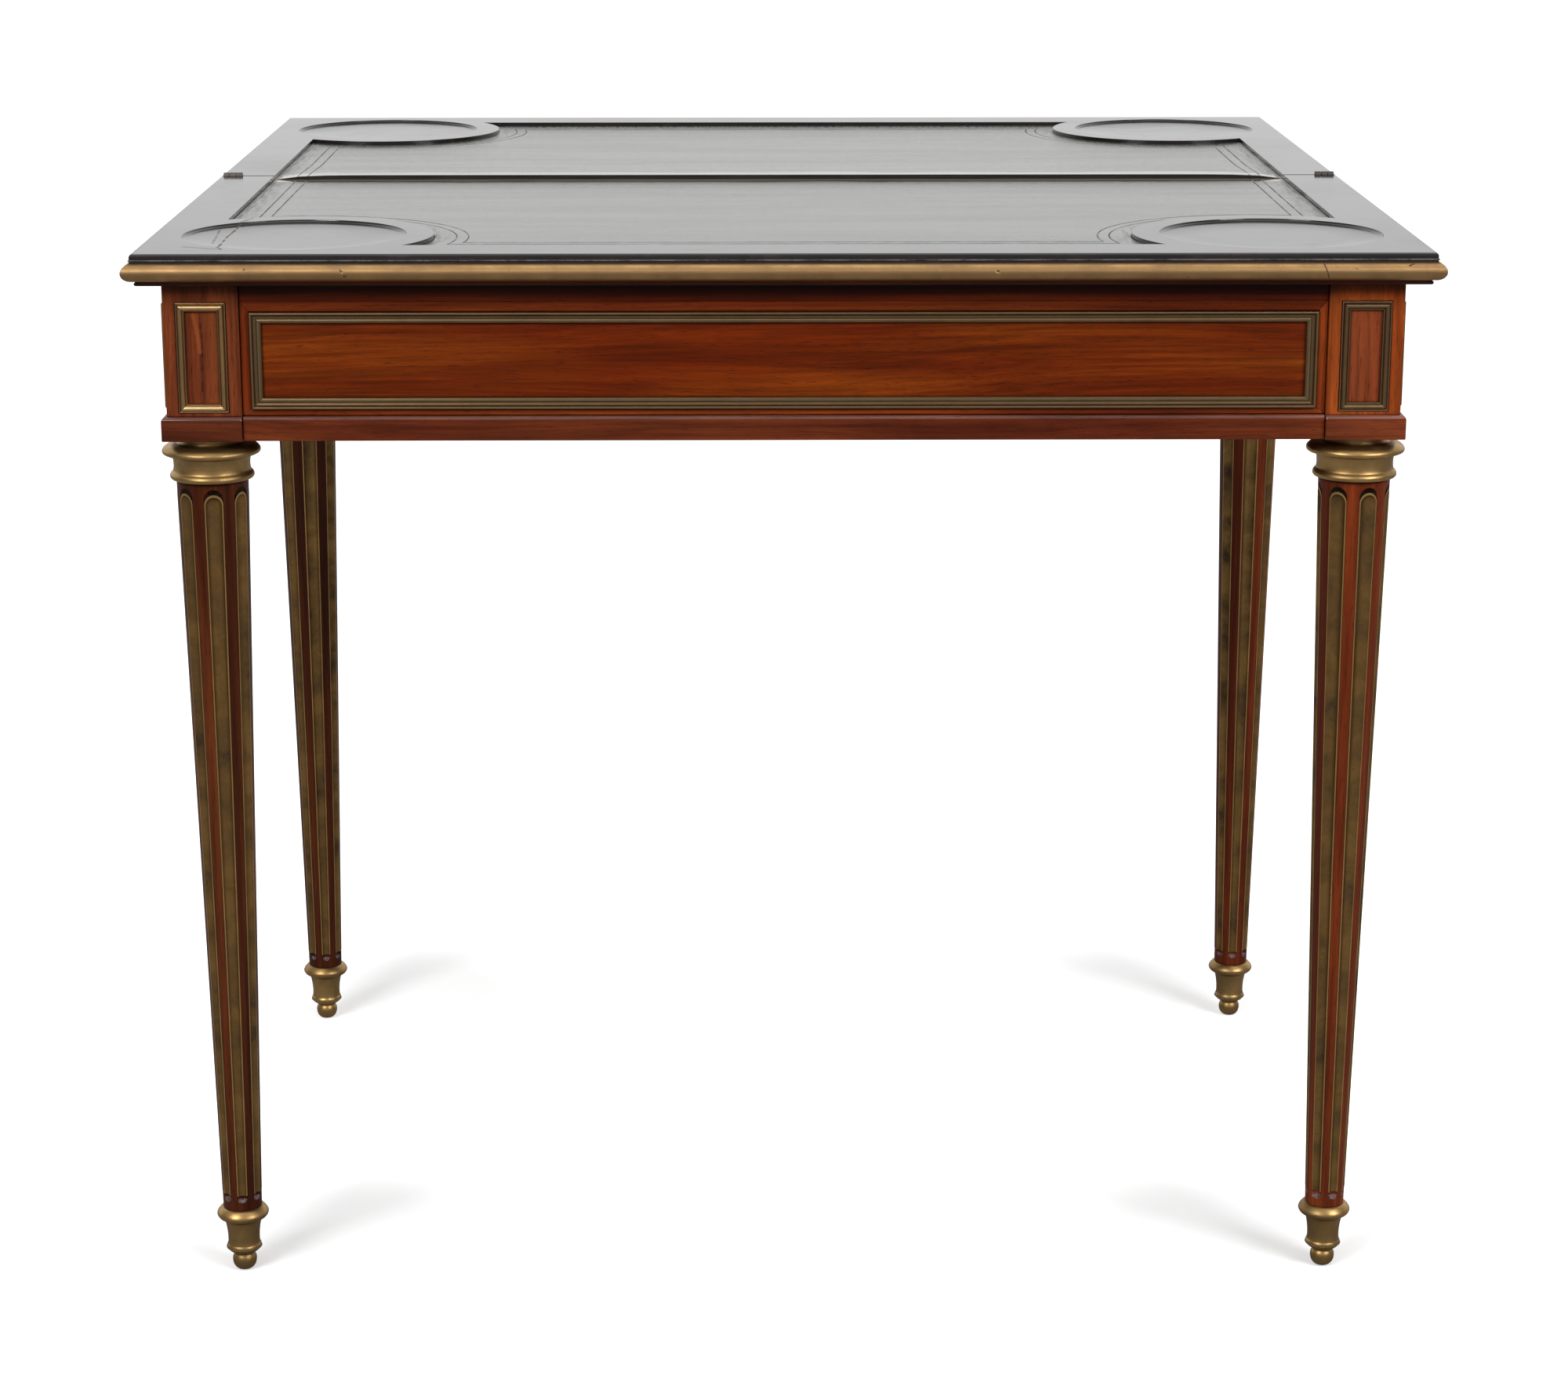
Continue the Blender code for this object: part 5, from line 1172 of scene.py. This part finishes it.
# %% [markdown]
# ## Brass frames
#
# The frames round the panels are four lengths of one moulding, cut at 45 degrees and laid
# together. A length is the moulding's section extruded along X, with both ends cut by a slanting
# plane. The section has a raised bead outside, a broad hollow and a smaller bead inside.

# %% A mitred length and a frame
FRAME_SECTION = [
    (0.000, 0.00), (0.000, 0.80), (0.018, 0.90), (0.060, 0.975), (0.115, 1.00), (0.175, 0.985),
    (0.225, 0.93), (0.255, 0.85), (0.285, 0.74), (0.330, 0.63), (0.390, 0.54), (0.460, 0.48),
    (0.530, 0.455), (0.595, 0.455), (0.612, 0.50), (0.660, 0.55), (0.735, 0.575), (0.815, 0.56),
    (0.890, 0.51), (0.955, 0.42), (1.000, 0.31), (1.000, 0.00),
]
MITRE_GAP = 0.00006


def mitred_length(name, section, length):
    """A length of moulding along X: its outer edge is on the axis and it lies towards -Y."""
    corners = [(-length / 2, -across, up) for across, up in section]
    piece = extruded(name, corners, (length, 0, 0))
    bpy.ops.object.mode_set(mode="EDIT")
    for sign in (-1, 1):
        bpy.ops.mesh.select_all(**SELECT_ALL)
        end = (sign * (length / 2 - MITRE_GAP), 0, 0)
        bpy.ops.mesh.bisect(plane_co=end, plane_no=(sign, -1, 0), use_fill=True, clear_outer=True)
    closed_up()
    return piece


def mitred_frame(name, section, width, height):
    """A frame of four lengths in the XY plane, its outer edges at width and height."""
    lengths = []
    for turn in range(4):
        length, off = (height, width) if turn % 2 else (width, height)
        piece = mitred_length(name + "_length", section, length)
        quarter = Matrix.Rotation(turn * math.pi / 2, 4, "Z")
        piece.data.transform(quarter @ Matrix.Translation((0, off / 2, 0)))
        lengths.append(piece)
    return smoothed(joined(name, lengths), 32)


def beads_rubbed(piece, width, height, moulding, crests):
    """Gives the faces near the crests of a flat frame's section the second finish."""
    def on_crest(face):
        across = min(width / 2 - abs(face.center.x), height / 2 - abs(face.center.y)) / moulding
        return face.normal.z > 0.3 and any(low < across < high for low, high in crests)

    repainted(piece, 1, on_crest)


def turned_to(facing):
    """Turns a piece from looking to the front to looking to the front, right, rear or left."""
    quarters = ("front", "right", "rear", "left").index(facing)
    return Matrix.Rotation(quarters * math.pi / 2, 4, "Z")


def upright(facing):
    """Stands a flat piece up, so that its top looks to the front, right, rear or left."""
    return turned_to(facing) @ Matrix.Rotation(math.pi / 2, 4, "X")


print("frame section points:", len(FRAME_SECTION))

# %% The four large frames
FRAME_WIDTH, FRAME_RISE = 0.0079, 0.0047
FRAME_DROP = 0.0015
section = [(FRAME_WIDTH * across, FRAME_RISE * up) for across, up in FRAME_SECTION]
for facing in ("front", "right", "rear", "left"):
    node = facing + "_panel_frame"
    low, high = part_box(node)
    high.z -= FRAME_DROP
    size, middle = high - low, (low + high) / 2
    along = size.x if facing in ("front", "rear") else size.y
    piece = mitred_frame("brass_" + node, section, along, size.z)
    painted(piece, metal["brass_frame"], metal["brass_rubbed"])
    beads_rubbed(piece, along, size.z, FRAME_WIDTH, ((0.05, 0.15), (0.66, 0.80)))
    beds = {"front": (1, high.y), "rear": (1, low.y), "right": (0, low.x), "left": (0, high.x)}
    axis, bed = beds[facing]
    middle[axis] = bed
    piece.data.transform(Matrix.Translation(middle) @ upright(facing))
    stands_for(piece, node)
print("large frames: 4")

# %% The eight small frames
SMALL_WIDTH, SMALL_RISE = 0.006, 0.0038
SMALL_DROP = 0.0019
SMALL_SECTION = [
    (0.00, 0.00), (0.00, 0.42), (0.03, 0.52), (0.09, 0.56), (0.15, 0.53), (0.18, 0.46), (0.20, 0.52),
    (0.25, 0.74), (0.32, 0.89), (0.41, 0.98), (0.50, 1.00), (0.60, 0.96), (0.69, 0.86), (0.76, 0.70),
    (0.80, 0.50), (0.83, 0.46), (0.87, 0.52), (0.93, 0.52), (0.98, 0.45), (1.00, 0.36), (1.00, 0.00),
]
section = [(SMALL_WIDTH * across, SMALL_RISE * up) for across, up in SMALL_SECTION]
low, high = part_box("block_frame_front_left_front")
width, height = high.x - low.x, high.z - low.z - SMALL_DROP


def on_level_bar(face):
    """Tells whether a face that isn't rubbed lies on the upper or the lower bar."""
    on_bar = height / 2 - abs(face.center.y) < width / 2 - abs(face.center.x)
    return on_bar and face.material_index == 0


pattern = mitred_frame("small_frame", section, width, height)
painted(pattern, metal["brass_small_lit"], metal["brass_rubbed"], metal["brass_bright"])
beads_rubbed(pattern, width, height, SMALL_WIDTH, ((0.02, 0.16), (0.86, 0.99)))
# painted highlight on the upper and lower bars
repainted(pattern, 2, on_level_bar)
for node in [n for n in nodes if n.startswith("block_frame_")]:
    low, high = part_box(node)
    high.z -= SMALL_DROP
    size, middle = high - low, (low + high) / 2
    if size.y < size.x:
        facing = "front" if "front_left" in node or "front_right" in node else "rear"
        middle.y = high.y if facing == "front" else low.y
    else:
        facing = "left" if "_left_" in node else "right"
        middle.x = high.x if facing == "left" else low.x
    twin = copied(pattern, "brass_" + node, Matrix.Translation(middle) @ upright(facing))
    # the right-hand frames get the plain frame brass instead of the lighter copy and its painted
    # highlight
    if "_right_" in node:
        twin.data.materials[0] = metal["brass_frame"]
        twin.data.materials[2] = metal["brass_rubbed"]
    stands_for(twin, node)
removed(pattern)
print("small frames:", sum(n.startswith("block_frame_") for n in nodes))

# %% [markdown]
# ## Panelled rails and plinths
#
# The frieze is a board faced with strips of mahogany, so that the panel lies 2 mm deeper. The
# strips are mitred at the corners, and the grain of the two end strips stands upright. Each strip
# is a flat outline extruded to its thickness with its edges broken a little, and the fine grooves
# between strips come from those edges. The plinth is a band along the bottom that stands proud.

# %% A panelled rail
STRIP, STRIP_LAP, STRIP_EDGE = 0.002, 0.0002, 0.0004
UPPER_STRIP_LOW = 0.7168


def panelled_rail(name, length, low, high, thickness, panel, upper, along, ends, field):
    """A rail facing the front with its face at y 0; panel is (half width, low, high)."""
    half, shoulder = length / 2, UPPER_STRIP_LOW
    wide, bottom, top = panel
    core = painted(block(name, (-half, STRIP, low), (half, thickness, high)), field, upper)
    repainted(core, 1, lambda face: face.normal.y > -0.5)
    face_of = [
        ("upper", [(-half, shoulder), (half, shoulder), (half, high), (-half, high)], upper),
        ("over", [(-half, shoulder), (-wide, top), (wide, top), (half, shoulder)], along),
        ("under", [(-half, low), (half, low), (wide, bottom), (-wide, bottom)], along),
        ("left", [(-half, low), (-wide, bottom), (-wide, top), (-half, shoulder)], ends),
        ("right", [(half, low), (half, shoulder), (wide, top), (wide, bottom)], ends),
    ]
    parts = [core]
    for label, corners, finish in face_of:
        outline = [(x, 0, z) for x, z in corners]
        strip = extruded(name + "_" + label, outline, (0, STRIP + STRIP_LAP, 0))
        parts.append(painted(smoothed(rounded(strip, STRIP_EDGE, 2), 20), finish))
    return joined(name, parts)


print("strips are", STRIP * 1000, "mm thick")

# %% The four rails
RAIL_FINISHES = {
    "x": (wood["rail_x"], wood["strip_x"], wood["strip_z"], wood["panel_x"]),
    "y": (wood["rail_y"], wood["strip_y"], wood["strip_z"], wood["panel_y"]),
}
RAILS = {
    # node: (facing, frame node, direction of the grain)
    "front_rail": ("front", "front_panel_frame", "x"),
    "rear_rail": ("rear", "rear_panel_frame", "x"),
    "left_side_rail": ("left", "left_panel_frame", "y"),
    "right_side_rail": ("right", "right_panel_frame", "y"),
}
PANEL_GAP = 0.0002
LEAN_ANGLE = math.radians(12)
SCREW_LEAN = Vector((0, -math.sin(LEAN_ANGLE), math.cos(LEAN_ANGLE)))
SEAT_DEPTH, POCKET_RADIUS, POCKET_LENGTH = 0.0247, 0.0039, 0.045
BORE_RADIUS, BORE_START, BORE_LENGTH = 0.0019, 0.001, 0.03


def pocketed(rail, x, thickness, top):
    """Cuts the slanting pocket and the bore of a screw that holds the leaf."""
    seat = Vector((x, thickness / 2, top)) - SCREW_LEAN * SEAT_DEPTH
    combined(rail, rod("pocket", POCKET_RADIUS, seat - SCREW_LEAN * POCKET_LENGTH, seat, 32))
    start, end = seat - SCREW_LEAN * BORE_START, seat + SCREW_LEAN * BORE_LENGTH
    combined(rail, rod("screw_bore", BORE_RADIUS, start, end, 24))


for node, (facing, frame_node, grain) in RAILS.items():
    low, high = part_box(node)
    frame_low, frame_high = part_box(frame_node)
    lengthwise = "xy".index(grain)
    length, thickness = (high[i] - low[i] for i in (lengthwise, 1 - lengthwise))
    middle = (low + high) / 2
    half_panel = (frame_high[lengthwise] - frame_low[lengthwise]) / 2 + PANEL_GAP
    panel = (half_panel, frame_low.z - PANEL_GAP, frame_high.z - FRAME_DROP + PANEL_GAP)
    finishes = RAIL_FINISHES[grain]
    rail = panelled_rail("panelled_" + node, length, low.z, high.z, thickness, panel, *finishes)
    if node == "front_rail":
        for side in ("left", "right"):
            screw_low, screw_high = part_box("top_screw_front_" + side)
            pocketed(rail, (screw_low.x + screw_high.x) / 2, thickness, high.z)
    face = {
        "front": (0, low.y, 0), "rear": (0, high.y, 0),
        "left": (low.x, middle.y, 0), "right": (high.x, middle.y, 0),
    }[facing]
    rail.data.transform(Matrix.Translation(face) @ turned_to(facing))
    stands_for(rail, node)
print("rails:", len(RAILS))

# %% Plinth bands
TOP_ROLL = 0.0032
NEAR_BY = 1e-5


def rolled(piece, radius, segments, wanted, upright_only=False):
    """Rounds the edges whose two ends both pass a test, or only the upright ones of them."""
    pick(piece)
    bpy.ops.object.mode_set(mode="EDIT")
    bpy.ops.mesh.select_all(action="DESELECT")
    shape = bmesh.from_edit_mesh(piece.data)
    for edge in shape.edges:
        one, other = (corner.co for corner in edge.verts)
        level = abs(one.z - other.z) <= 0.001
        edge.select_set(wanted(one) and wanted(other) and not (upright_only and level))
    bmesh.update_edit_mesh(piece.data)
    bpy.ops.mesh.bevel(offset=radius, segments=segments, profile=0.5, affect="EDGES")
    bpy.ops.object.mode_set(mode="OBJECT")
    return piece


def highlighted_roll(piece):
    """Gives the rounded top edge the second finish, a paler polish that paints its highlight."""
    repainted(piece, 1, lambda face: 0.3 < face.normal.z < 0.96)
    return piece


for side, axis, sign in (("front", 1, -1), ("rear", 1, 1), ("left_side", 0, -1), ("right_side", 0, 1)):
    node = side + "_plinth"
    low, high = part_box(node)
    face = (low if sign < 0 else high)[axis]
    band = block("moulded_" + node, low, high)
    rolled(band, TOP_ROLL, 5, lambda p: abs(p[axis] - face) < NEAR_BY and p.z > high.z - NEAR_BY)
    smoothed(rounded(band, 0.0005, 2), 20)
    if axis:
        painted(band, wood["plinth_x"], wood["roll_x"])
    else:
        painted(band, wood["plinth_y"], wood["roll_y"])
    stands_for(highlighted_roll(band), node)
print("plinths: 4")

# %% A corner block
BLOCK_LOW, BLOCK_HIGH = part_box("corner_block_front_left")
PLINTH_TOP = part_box("front_plinth")[1].z
PLINTH_REACH = 0.0037
BLOCK_HALF = (BLOCK_HIGH.x - BLOCK_LOW.x - PLINTH_REACH) / 2
FOOT_HALF = BLOCK_HALF + PLINTH_REACH
FIELD_LOW, FIELD_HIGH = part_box("block_frame_front_left_front")
FIELD_HALF = (FIELD_HIGH.x - FIELD_LOW.x) / 2 + PANEL_GAP
FIELD_BOTTOM, FIELD_TOP = FIELD_LOW.z - PANEL_GAP, FIELD_HIGH.z - SMALL_DROP + PANEL_GAP
FIELD_SINK = 0.0015

column = block(
    "corner_block", (-BLOCK_HALF, -BLOCK_HALF, PLINTH_TOP), (BLOCK_HALF, BLOCK_HALF, BLOCK_HIGH.z)
)
for turn in (0, -1):
    field_low = (-FIELD_HALF, -BLOCK_HALF - 0.002, FIELD_BOTTOM)
    field = block("field", field_low, (FIELD_HALF, -BLOCK_HALF + FIELD_SINK, FIELD_TOP))
    field.data.transform(Matrix.Rotation(turn * math.pi / 2, 4, "Z"))
    combined(column, field)
rounded(column, 0.0005, 2, 60)
foot = block("block_foot", (-FOOT_HALF, -FOOT_HALF, BLOCK_LOW.z), (BLOCK_HALF, BLOCK_HALF, PLINTH_TOP))
outside = NEAR_BY - FOOT_HALF
rolled(foot, TOP_ROLL, 5, lambda p: p.z > PLINTH_TOP - NEAR_BY and min(p.x, p.y) < outside)
rounded(foot, 0.0006, 2)


def in_field(face):
    """Tells whether a face of the column is the floor of one of its two sunk fields."""
    normal, centre, floor_at = face.normal, face.center, 0.001 - BLOCK_HALF
    return (normal.y < -0.9 and centre.y > floor_at) or (normal.x < -0.9 and centre.x > floor_at)


repainted(painted(column, wood["block"], wood["field"]), 1, in_field)
highlighted_roll(painted(foot, wood["block_foot"], wood["roll_x"]))
pattern = smoothed(joined("corner_block_pattern", [column, foot]), 20)
print("block faces:", len(pattern.data.polygons))

# %% The four corner blocks
for corner, turns in {"front_left": 0, "front_right": 1, "rear_right": 2, "rear_left": 3}.items():
    x, y = LEG_PLACES[corner]
    place = Matrix.Translation((x, y, 0)) @ Matrix.Rotation(turns * math.pi / 2, 4, "Z")
    twin = copied(pattern, "panelled_block_" + corner, place)
    # the right-hand blocks get the lighter copy of their wood: painted light
    if corner.endswith("right"):
        twin.data.materials[0] = wood["lit_block"]
    if corner == "front_left":
        twin.data.materials[1] = wood["split"]
    stands_for(twin, "corner_block_" + corner)
removed(pattern)
print("corner blocks: 4, half width", round(BLOCK_HALF, 4))

# %% [markdown]
# ## The leaves: raised border, leather and brass edge
#
# Each leaf carries a raised lacquered border with a round dished well in both outer corners. It is
# made from a block: its outer corners are bevelled round, its outer top edge gets a broad roll, the
# leather's bed is cut out with a body of the leather's own shape, and the wells are sunk with a
# turned body whose floor rises gently to a small cove. The other edges are rounded a little,
# because a polished edge shows a bright line. A thin bead runs round below, on top of the brass.
# A Weighted Normal modifier keeps the large flat faces flat beside the rolls. The rear leaf is the
# front one turned round.

# %% The border
TOP, JOINT = BORDER_HIGH.z, BORDER_HIGH.y
BORDER_REACH = 0.0012
BORDER_SIDE, BORDER_FRONT = BORDER_HIGH.x + BORDER_REACH, BORDER_LOW.y - BORDER_REACH
BED_GAP = 0.0003
HALF_TURN = Matrix.Rotation(math.pi, 4, "Z")


def leather_field(name, clearance, low, high, past=0.0):
    """The leather's outline as a body: a rectangle less the two roundels."""
    side = LEATHER_SIDE + BED_GAP - clearance
    front = LEATHER_LOW.y - BED_GAP + clearance
    field = block(name, (-side, front, low), (side, JOINT + past, high))
    for sign in (-1, 1):
        foot = Vector((sign * ROUNDEL_X, -ROUNDEL_Y, low - 0.01))
        head = Vector((sign * ROUNDEL_X, -ROUNDEL_Y, high + 0.01))
        combined(field, rod("roundel", ROUNDEL_RADIUS + clearance, foot, head, 144))
    return field


print("leather field:", round(2 * LEATHER_SIDE, 4), "m wide")

# %% The border's body
EDGE_ROLL, CORNER_RADIUS = 0.0022, 0.0045
WELL_RADIUS = 0.0775
POCKET_INNER, POCKET_DEPTH = 0.4217, 0.0027
PAST = 0.01
WELL_OUTLINE = [
    # (radius, depth) from the middle of the floor to above the rim
    (0.0, 0.0030), (0.0450, 0.0030), (0.0560, 0.00285), (0.0650, 0.0025), (0.0715, 0.0021),
    (0.0752, 0.0018), (0.0762, 0.0016), (0.0769, 0.00125), (0.0773, 0.0008),
    (WELL_RADIUS, 0.0003), (WELL_RADIUS, -PAST), (0.0, -PAST),
]
well = turned("well", [(radius, -depth) for radius, depth in WELL_OUTLINE], 176)

border = block("front_border", (-BORDER_SIDE, BORDER_FRONT, BORDER_LOW.z), (BORDER_SIDE, JOINT, TOP))
rolled(border, CORNER_RADIUS, 8, lambda p: p.y < BORDER_FRONT + NEAR_BY, upright_only=True)


def on_outer_top(place):
    """Tells whether a corner of the mesh lies on the top, but not on the joint's open edge."""
    outside = place.y < JOINT - NEAR_BY or abs(place.x) > BORDER_SIDE - NEAR_BY
    return place.z > TOP - NEAR_BY and outside


rolled(border, EDGE_ROLL, 6, on_outer_top)
combined(border, leather_field("bed", 0.0, BORDER_LOW.z - 0.002, TOP + 0.002, PAST))
for sign in (-1, 1):
    centre = (sign * ROUNDEL_X, -ROUNDEL_Y)
    combined(border, copied(well, "well_copy", Matrix.Translation((*centre, TOP))))
    inner, outer = sorted((sign * POCKET_INNER, sign * (BORDER_SIDE + PAST)))
    pocket_low = (inner, JOINT - POCKET_DEPTH, BORDER_LOW.z - PAST)
    combined(border, block("pocket", pocket_low, (outer, JOINT + PAST, TOP + PAST)))
rounded(border, 0.00055, 3, 50)
smoothed(border, 32)
modifier = border.modifiers.new("flat_faces", "WEIGHTED_NORMAL")
modifier.mode = "FACE_AREA"
modifier.keep_sharp = True
bpy.ops.object.modifier_apply(modifier=modifier.name)
print("border body faces:", len(border.data.polygons))

# %% The bead below the border
BEAD_RADIUS, BEAD_REACH, BEAD_ROOT, FILLET = 0.00055, 0.0007, 0.0022, 0.0013
BEAD_LOW = 0.7470


def half_circle(reach, rise, steps):
    """The section of a half round: from its top, out and back in to its foot."""
    angles = [math.pi / 2 - math.pi * step / steps for step in range(steps + 1)]
    return [(reach * (1 - math.cos(angle)), rise * math.sin(angle)) for angle in angles]


def cut_off(piece, place, normal):
    """Cuts off all of a piece that lies past a plane, and closes the cut."""
    pick(piece)
    bpy.ops.object.mode_set(mode="EDIT")
    bpy.ops.mesh.select_all(**SELECT_ALL)
    bpy.ops.mesh.bisect(plane_co=place, plane_no=normal, use_fill=True, clear_outer=True)
    closed_up()
    return piece


below = -BEAD_RADIUS - FILLET
section = [(BEAD_ROOT, BEAD_RADIUS)] + half_circle(BEAD_REACH, BEAD_RADIUS, 8)
section += [(BEAD_REACH, below), (BEAD_ROOT, below)]
bead = mitred_frame("bead", section, 2 * (BORDER_SIDE + BEAD_REACH), 2 * (BEAD_REACH - BORDER_FRONT))
bead.data.transform(Matrix.Translation((0, 0, BEAD_LOW + BEAD_RADIUS)))
painted(smoothed(cut_off(bead, (0, JOINT, 0), (0, 1, 0)), 50), lacquer, bead_highlight)
# the bead's crest gets the grey finish: a painted highlight
repainted(bead, 1, lambda face: BEAD_LOW < face.center.z < BEAD_LOW + 2 * BEAD_RADIUS)
border = joined("front_border", [painted(border, lacquer), bead])
rear = copied(border, "rear_border", HALF_TURN)
stands_for(border, "front_leaf_border")
stands_for(rear, "rear_leaf_border")
removed(well)
print("border faces:", len(border.data.polygons))

# %% [markdown]
# The leather sheets lie 3 mm below the border. On the real table the rear leaf has warped a
# little, so its leather stands proud at the joint, and its edge shows there as a dark band, which
# the front sheet mirrors. The rear sheet is therefore subdivided along the joint and its points are
# lifted, and the faces of its edge get a nearly black finish of their own: the edge's dark colour
# with painted shade of the gap.

# %% The leather sheets
LEATHER_TOP = LEATHER_HIGH.z
JOINT_LIFT, LIFT_REACH = 0.0034, 0.110
SHEET_GAP, SHEET_EDGE = 0.0003, 0.0003
CUTS_ACROSS, CUTS_ALONG = 40, 8

front_sheet = leather_field("front_leather_sheet", SHEET_GAP, LEATHER_LOW.z, LEATHER_TOP)
rounded(front_sheet, SHEET_EDGE, 2, 50)
rear_sheet = leather_field("rear_leather_sheet", SHEET_GAP, LEATHER_LOW.z, LEATHER_TOP)
pick(rear_sheet)
bpy.ops.object.mode_set(mode="EDIT")
for step in range(1, CUTS_ACROSS):
    bpy.ops.mesh.select_all(**SELECT_ALL)
    x = -LEATHER_SIDE + 2 * LEATHER_SIDE * step / CUTS_ACROSS
    bpy.ops.mesh.bisect(plane_co=(x, 0, 0), plane_no=(1, 0, 0))
for step in range(1, CUTS_ALONG + 1):
    bpy.ops.mesh.select_all(**SELECT_ALL)
    bpy.ops.mesh.bisect(plane_co=(0, JOINT - LIFT_REACH * step / CUTS_ALONG, 0), plane_no=(0, 1, 0))
bpy.ops.object.mode_set(mode="OBJECT")
for vertex in rear_sheet.data.vertices:
    near = max(0.0, 1 + (vertex.co.y - JOINT) / LIFT_REACH)
    along = max(0.0, 1 - (vertex.co.x / LEATHER_SIDE) ** 24)
    if vertex.co.z > LEATHER_TOP - 0.0001:
        vertex.co.z += JOINT_LIFT * near * near * (3 - 2 * near) * along
rear_sheet.data.transform(HALF_TURN)
for sheet, node in ((front_sheet, "front_leather"), (rear_sheet, "rear_leather")):
    stands_for(painted(smoothed(sheet, 20), leather, leather_edge), node)
# the front faces of the rear sheet's edge get the nearly black finish, with painted shade of the gap
repainted(rear_sheet, 1, lambda face: face.normal.y < -0.8 and face.center.y < 0.001)
print("rear sheet faces:", len(rear_sheet.data.polygons))

# %% The brass edge
NOSING_LOW, NOSING_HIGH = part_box("front_nosing")
NOSING_HALF = (NOSING_HIGH.z - NOSING_LOW.z) / 2
NOSING_DROP, NOSING_REACH = 0.0013, 0.0075
NOSING_MIDDLE = (NOSING_HIGH.z + NOSING_LOW.z) / 2 - NOSING_DROP

section = half_circle(NOSING_REACH, NOSING_HALF, 24)
nosing = mitred_frame("front_brass_edge", section, 2 * NOSING_HIGH.x, -2 * NOSING_LOW.y)
nosing.data.transform(Matrix.Translation((0, 0, NOSING_MIDDLE)))
painted(smoothed(cut_off(nosing, (0, NOSING_HIGH.y, 0), (0, 1, 0)), 32), metal["brass_nosing"])
rear = copied(nosing, "rear_brass_edge", HALF_TURN)
stands_for(nosing, "front_nosing")
stands_for(rear, "rear_nosing")
print("brass edge faces:", len(nosing.data.polygons))

# %% The moulding under each leaf's edge, painted nearly black as shade
BOARD_LOW, BOARD_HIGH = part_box("front_leaf_board")
LIP_DEPTH, LIP_WIDTH = 0.0020, 0.0105
LIP_SECTION = [
    (0.0, 0.0), (0.0, -0.0007), (0.0003, -0.0014), (0.0009, -0.0018), (0.0018, -LIP_DEPTH),
    (LIP_WIDTH, -LIP_DEPTH), (LIP_WIDTH, 0.0),
]
lip = mitred_frame("front_lip", LIP_SECTION, 2 * BOARD_HIGH.x, 2 * BOARD_HIGH.x)
lip.data.transform(Matrix.Translation((0, 0, BOARD_LOW.z)))
painted(smoothed(cut_off(lip, (0, NOSING_HIGH.y, 0), (0, 1, 0)), 50), wood["lip"])
rear = copied(lip, "rear_lip", HALF_TURN)
for piece, node in ((lip, "front_leaf_board"), (rear, "rear_leaf_board")):
    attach(piece, BODY_OF[node])
print("lip faces:", len(lip.data.polygons))

# %% [markdown]
# ## Hinges, screws and the inner frame
#
# The joint turns on two small butt hinges let into the ends of the leaves' meeting edges. Their
# plates and pins, the sliding frame's oak pieces and the screws under the top are already right
# as solids, so they only get their finishes. The slotted screws of the hinge plates are added.

# %% Finishes for the kept solids
KEPT_FINISHES = {
    "front_leaf_board": wood["board_x"],
    "rear_leaf_board": wood["board_x"],
    "left_guide": oak_y,
    "right_guide": oak_y,
    "left_bearer": oak_y,
    "right_bearer": oak_y,
    "cross_rail": oak_x,
    "slide_stretcher": oak_x,
}
KEPT_FINISHES.update({n: metal["brass_hinge"] for n in nodes if n.startswith("hinge_plate")})
KEPT_FINISHES.update({n: metal["steel"] for n in nodes if n.startswith(("hinge_pin", "top_screw"))})
for node, finish in KEPT_FINISHES.items():
    painted(nodes[node], finish)
print("kept solids:", len(KEPT_FINISHES))

# %% Hinge screws
SCREW_RADIUS, SCREW_HEAD = 0.0011, 0.0021
PLATE_TOP = 0.7495
PLATE_MIDDLE = (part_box("hinge_plate_front_left")[0].z + PLATE_TOP) / 2
SCREW_OFF, SCREW_PROUD = 0.0032, 0.00015
screw = turned("hinge_screw", [
    (0, 0.0112), (0.0003, 0.0108), (SCREW_RADIUS, 0.0085), (SCREW_RADIUS, 0.0012),
    (SCREW_HEAD - 0.0003, 0.0006), (SCREW_HEAD, 0.0005), (SCREW_HEAD, 0.0002),
    (SCREW_HEAD - 0.0002, 0.00005), (0, 0.00005),
], 32)
combined(screw, block("slot", (-0.003, -0.00025, -0.001), (0.003, 0.00025, 0.00045)))
painted(smoothed(screw, 30), metal["steel"])
for corner in CORNERS:
    sign = -1 if corner.startswith("front") else 1
    low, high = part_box("hinge_plate_" + corner)
    x = (low.x + high.x) / 2
    laid = Matrix.Rotation(-sign * math.pi / 2, 4, "X")
    for number, height in enumerate((-SCREW_OFF, SCREW_OFF)):
        turn = Matrix.Rotation(0.6 + 1.9 * number + x, 4, "Z")
        place = Matrix.Translation((x, sign * SCREW_PROUD, PLATE_MIDDLE + height))
        twin = copied(screw, f"hinge_screw_{corner}_{number + 1}", place @ laid @ turn)
        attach(twin, BODY_OF["hinge_plate_" + corner])
removed(screw)
print("hinge screws: 8")

# %% [markdown]
#
# The view transform is Standard, so that a colour shows as it is written.

# %% View
bpy.context.scene.view_settings.view_transform = "Standard"
start_fresh()
